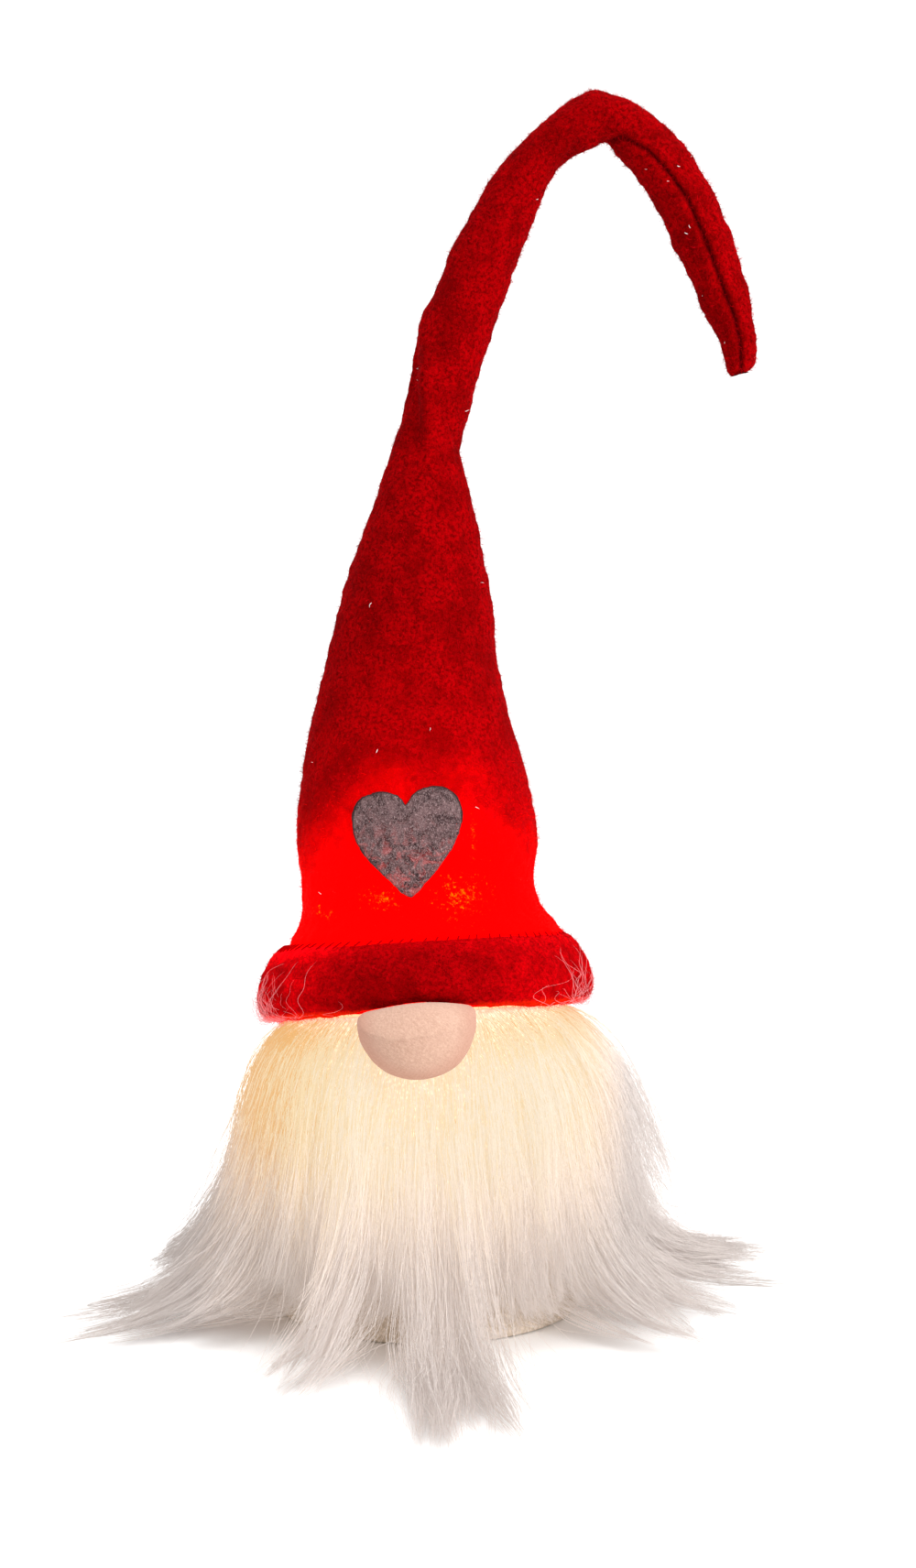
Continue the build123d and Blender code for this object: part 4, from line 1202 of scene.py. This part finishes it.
    # Locks draw together towards their ends.
    members = np.bincount(lock, minlength=locks)[:, None, None]
    sums = np.zeros((locks, steps, 3))
    np.add.at(sums, lock, paths)
    guide = (sums / np.maximum(members, 1))[lock]
    tight = (per_lock(0.3, 0.92) * np.where(stray, 0.0, 1.0))[:, None] * times[None, :] ** 1.7
    paths += tight[..., None] * (guide - paths)
    paths[..., 2] = np.maximum(paths[..., 2], FLOOR)
    # No fibre reaches out further than the longest locks.
    shrink = np.ones(count)
    for axis, low, high in ((0, LEFT_END, RIGHT_END), (1, FRONT_END, BACK_END)):
        from_root = paths[..., axis] - root[:, None, axis]
        room = np.where(from_root > 0, high - root[:, None, axis], root[:, None, axis] - low)
        used = (np.abs(from_root) / room).max(axis=1)
        uneven = np.where(used > 1, rng.uniform(0.78, 1.0, count), 1.0)
        shrink = np.minimum(shrink, uneven / np.maximum(used, 1.0))
    paths[..., :2] = root[:, None, :2] + (paths[..., :2] - root[:, None, :2]) * shrink[:, None, None]
    return paths, azimuth, lock, stray


def clear_of_nose(paths):
    """Drops fibres that start behind the nose, and leads the others round it."""
    root, clear = paths[:, 0], NOSE_R + 0.6
    behind = (root[:, 1] < 0) & (np.hypot(root[:, 0] - NOSE_CENTRE[0], root[:, 2] - NOSE_CENTRE[2]) < 17.5)
    for _ in range(2):
        off = paths - NOSE_CENTRE
        away = np.linalg.norm(off, axis=2)
        inside = away < clear
        pushed = NOSE_CENTRE + off / np.maximum(away, 1e-6)[..., None] * clear
        paths = np.where(inside[..., None], pushed, paths)
    return paths, ~behind


def clear_of_brim(paths):
    """Keeps fibres below the brim's lower fold."""
    x, y = paths[..., 0], paths[..., 1]
    limit = brim_height(x, y) - 0.4
    near = np.hypot(x - BRIM_CENTRE[0], y) < 64
    paths[..., 2] = np.where(near, np.minimum(paths[..., 2], limit), paths[..., 2])
    return paths


def glow_of(paths, rng, lock_shift):
    """Glow level and warmth of each fibre segment, from where it lies."""
    middle = (paths[:, :-1] + paths[:, 1:]) / 2
    x, y, z = middle[..., 0], middle[..., 1], middle[..., 2]
    depth = np.clip((np.hypot(x, y) - backing_radius(z)) / 24.0, 0, 1.4)
    wander = lock_shift[:, None] + rng.normal(0, 2.0, len(paths))[:, None]
    level = 0.1 + 0.94 * step_up(z + wander, 19, 93) ** 1.2
    side = x / 78.0
    edge = np.clip(np.abs(side) + 0.24 * step_up(side, 0.5, 0.92), 0, 1.2)
    level = level * (1 - 0.1 * np.clip(depth, 0, 1)) * (1 - 0.5 * edge ** 4)
    level = level - 0.1 * step_up(np.hypot(x, y), 84, 120)
    level = level * (1 + rng.normal(0, 0.04, len(paths))[:, None])
    # Warmth also darkens the fibre's own colour: painted shade at the left and right sides, deep in the pile
    # and near the brim.
    warm = 0.1 + 1.5 * np.clip(-side - 0.3, 0, 1) + 1.4 * np.clip(side - 0.6, 0, 1) + 0.45 * (0.5 - depth)
    warm = warm + 0.35 * step_up(z, 96, 116) + rng.normal(0, 0.12, len(paths))[:, None]
    dither = rng.random((2,) + middle.shape[:2])
    picked = [np.clip(np.floor(np.clip(share, 0, 1) * (many - 1) + rough), 0, many - 1)
              for share, many, rough in ((level, GLOW_LEVELS, dither[0]), (warm, WARMTHS, dither[1]))]
    return (picked[0] * WARMTHS + picked[1]).astype(int)


def make_pile():
    rng = np.random.default_rng(SEED)
    paths, azimuth, lock, stray = pile_paths(FIBRES, LOCKS, rng)
    paths, kept = clear_of_nose(paths)
    paths = clear_of_brim(paths)
    finish = glow_of(paths, rng, rng.normal(0, 6.0, LOCKS)[lock])
    thick = rng.uniform(0.75, 1.2, FIBRES) * 0.1 * np.where(stray, 0.7, 1.0)
    taper = np.interp(np.linspace(0, 1, paths.shape[1]), [0, 0.5, 0.85, 1], [0.9, 1.0, 0.6, 0.2])
    radii = thick[:, None] * taper[None, :]
    across = tangents(azimuth)
    front = np.sin(azimuth) < 0.17
    materials = pile_materials()
    made = []
    sorts = (("beard_pile", front & kept, "beard_fur"), ("back_pile", ~front & kept, "back_fur"))
    for label, chosen, node in sorts:
        ids = np.flatnonzero(chosen)
        ids = ids[np.argsort(azimuth[ids])]
        for number, part in enumerate(np.array_split(ids, math.ceil(len(ids) / FIBRES_PER_PIECE))):
            piece = strands(f"{label}_{number + 1}", paths[part], radii[part], across[part], materials,
                            finish[part])
            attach(piece, "root")
            if number == 0:
                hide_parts(node)
            made.append(piece)
    return made


def make_brim_hairs():
    """Long stray fibres that have worked out from under the brim and curl up over its ends."""
    rng = np.random.default_rng(SEED + 2)
    count, steps = 210, 20
    # They cross the two ends.
    centre = rng.choice([-2.85, -0.25], count, p=[0.6, 0.4])
    turn = centre + rng.normal(0, 0.22, count)
    t = np.linspace(0, 1, steps)[None, :]
    climb = np.radians(rng.uniform(30, 150, count) * rng.uniform(0.5, 1.0, count))[:, None]
    gap = rng.uniform(0.3, 3.4, count)[:, None]
    phase = rng.uniform(0, 6.28, (4, count, 1))
    angle = np.radians(-75) + climb * t + 0.12 * np.sin(6 * t + phase[0])
    away = gap * step_up(t, 0.0, 0.5) * (1 + 0.6 * np.sin(5 * t + phase[1]))
    radius = 56.6 + (6.1 + away) * np.cos(angle)
    high = (11.6 + away) * np.sin(angle)
    drift, bend = rng.normal(0, 0.15, (2, count, 1))
    swirl = turn[:, None] + drift * t + bend * t * t + 0.05 * np.sin(6 * t + phase[2])
    swirl = swirl + 0.02 * np.sin(13 * t + phase[3])
    paths = brim_point(radius, swirl, high)
    radii = rng.uniform(0.03, 0.055, count)[:, None] * np.interp(t, [0, 0.7, 1], [1.0, 0.9, 0.4])
    # Painted light: these white fibres are tinted pink and glow red, for the red light of the felt around them.
    look = Look("stray_pile", roughness=0.5, specular_ior_level=0.3, base_color=rgb(0.85, 0.36, 0.38))
    look.put(emission_color=rgb(1.0, 0.2, 0.22))
    look.put(emission_strength=0.22)
    finish = np.zeros((count, steps - 1))
    made = strands("brim_stray_pile", paths, radii, tangents(turn), [look.material], finish)
    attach(made, "root")
    return made


# ---- Felt nap -------------------------------------------------------------------------------
# Places of the lit ends and the lint among the nap's materials.
LIT, LINT = 3, 4


def nap_materials():
    """Wool ends, from shaded to lit by the lamp, and white lint."""
    made = []
    for label, base, glow, strength in (
            ("nap_dark", rgb(0.2, 0.0, 0.001), BLACK, 0.0), ("nap_red", rgb(0.42, 0.0, 0.002), BLACK, 0.0),
            ("nap_light", rgb(0.66, 0.0, 0.006), BLACK, 0.0),
            ("nap_lit", rgb(0.5, 0.0, 0.0), rgb(1.0, 0.0, 0.0), 0.75),
            ("lint", rgb(0.9, 0.88, 0.86), BLACK, 0.0)):
        look = Look("wool_" + label, roughness=0.9, specular_ior_level=0.03, base_color=base)
        look.put(emission_color=glow)
        look.put(emission_strength=strength)
        made.append(look.material)
    return made


def nap_on(name, points, normals, count, rng, materials, pick, lengths=(1.0, 3.2), radius=0.06, steps=5):
    """Short wool ends that stand off a grid of points, bent over at random."""
    around = points.shape[1]
    span = np.linalg.norm(np.roll(points, -1, axis=1) - points, axis=2)[:-1]
    rise = np.linalg.norm(points[1:] - points[:-1], axis=2)
    weight = (span * rise).ravel()
    cell = np.searchsorted(np.cumsum(weight) / weight.sum(), rng.random(count))
    row, column = cell // around, cell % around
    a, b = rng.random((2, count, 1))
    after = (column + 1) % around
    root = ((1 - a) * ((1 - b) * points[row, column] + b * points[row, after])
            + a * ((1 - b) * points[row + 1, column] + b * points[row + 1, after]))
    out = normals[row, column]
    sideways = unit(np.cross(out, rng.normal(0, 1, (count, 3))))
    other = unit(np.cross(out, sideways))
    length = rng.uniform(*lengths, count) * rng.uniform(0.5, 1.0, count)
    lean = rng.uniform(0.3, 1.5, count)
    curl = rng.normal(0, 0.7, count)
    spots = [root - 0.1 * out]
    for k in range(1, steps):
        t = k / (steps - 1)
        angle = lean * (0.45 + 0.85 * t)
        way = np.cos(angle)[:, None] * out + np.sin(angle)[:, None] * (np.cos(curl * t)[:, None] * sideways
                                                                       + np.sin(curl * t)[:, None] * other)
        spots.append(spots[-1] + (length / (steps - 1))[:, None] * way)
    paths = np.stack(spots, axis=1)
    radii = radius * rng.uniform(0.7, 1.3, count)[:, None] * np.linspace(1.0, 0.45, steps)[None, :]
    kind = pick(root, rng)
    radii = radii * np.where(kind == LINT, 2.6, 1.0)[:, None]
    finish = np.repeat(kind[:, None], steps - 1, axis=1)
    made = strands(name, paths, radii, sideways, materials, finish)
    return made


def hat_pick(root, rng):
    """Which wool end grows where: lit ones low on the cone, plain ones above."""
    lit = root[:, 2] + rng.normal(0, 7, len(root)) + 22 * step_up(-root[:, 0], 30, 46) < 196
    tone = rng.choice(3, len(root), p=[0.3, 0.5, 0.2])
    tone = np.where(lit, LIT, tone)
    return np.where(rng.random(len(root)) < 0.0022, LINT, tone)


def brim_pick(root, rng):
    # More dark ends than on the hat: painted shade of the doubled felt; lit ends along its lower fold.
    tone = rng.choice(3, len(root), p=[0.55, 0.35, 0.1])
    low = (root - BRIM_CENTRE) @ BRIM_UP < -9.3
    return np.where(low, LIT, tone)


def make_nap(points, normals, split, cuff):
    rng = np.random.default_rng(SEED + 1)
    materials = nap_materials()
    many = 1.0
    shown = slice(int(26 / HAT_STEP), split + 1)
    tail = slice(split, -2)
    lower = nap_on("hat_lower_nap", points[shown], normals[shown], int(15000 * many), rng, materials,
                   hat_pick)
    upper = nap_on("hat_upper_nap", points[tail], normals[tail], int(8500 * many), rng, materials, hat_pick)
    brim = nap_on("brim_nap", cuff, grid_normals(cuff), int(9500 * many), rng, materials, brim_pick)
    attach(brim, "root")
    return lower, upper


def bend_pieces(lower, upper, lower_nap, upper_nap):
    for piece in (lower, lower_nap):
        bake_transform(piece)
    for piece in (upper, upper_nap):
        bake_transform(piece)


# ---- Everything -----------------------------------------------------------------------------
stand_camera()
studio()
finish_cad()
hat_points, hat_normals, hat_split, hat_lower, hat_upper = make_hat()
cuff_points = make_brim()
make_stitches()
make_heart(hat_points)
make_nose()
backing = make_backing()
pile = make_pile() + [make_brim_hairs()]
nap = make_nap(hat_points, hat_normals, hat_split, cuff_points)
bend_pieces(hat_lower, hat_upper, *nap)
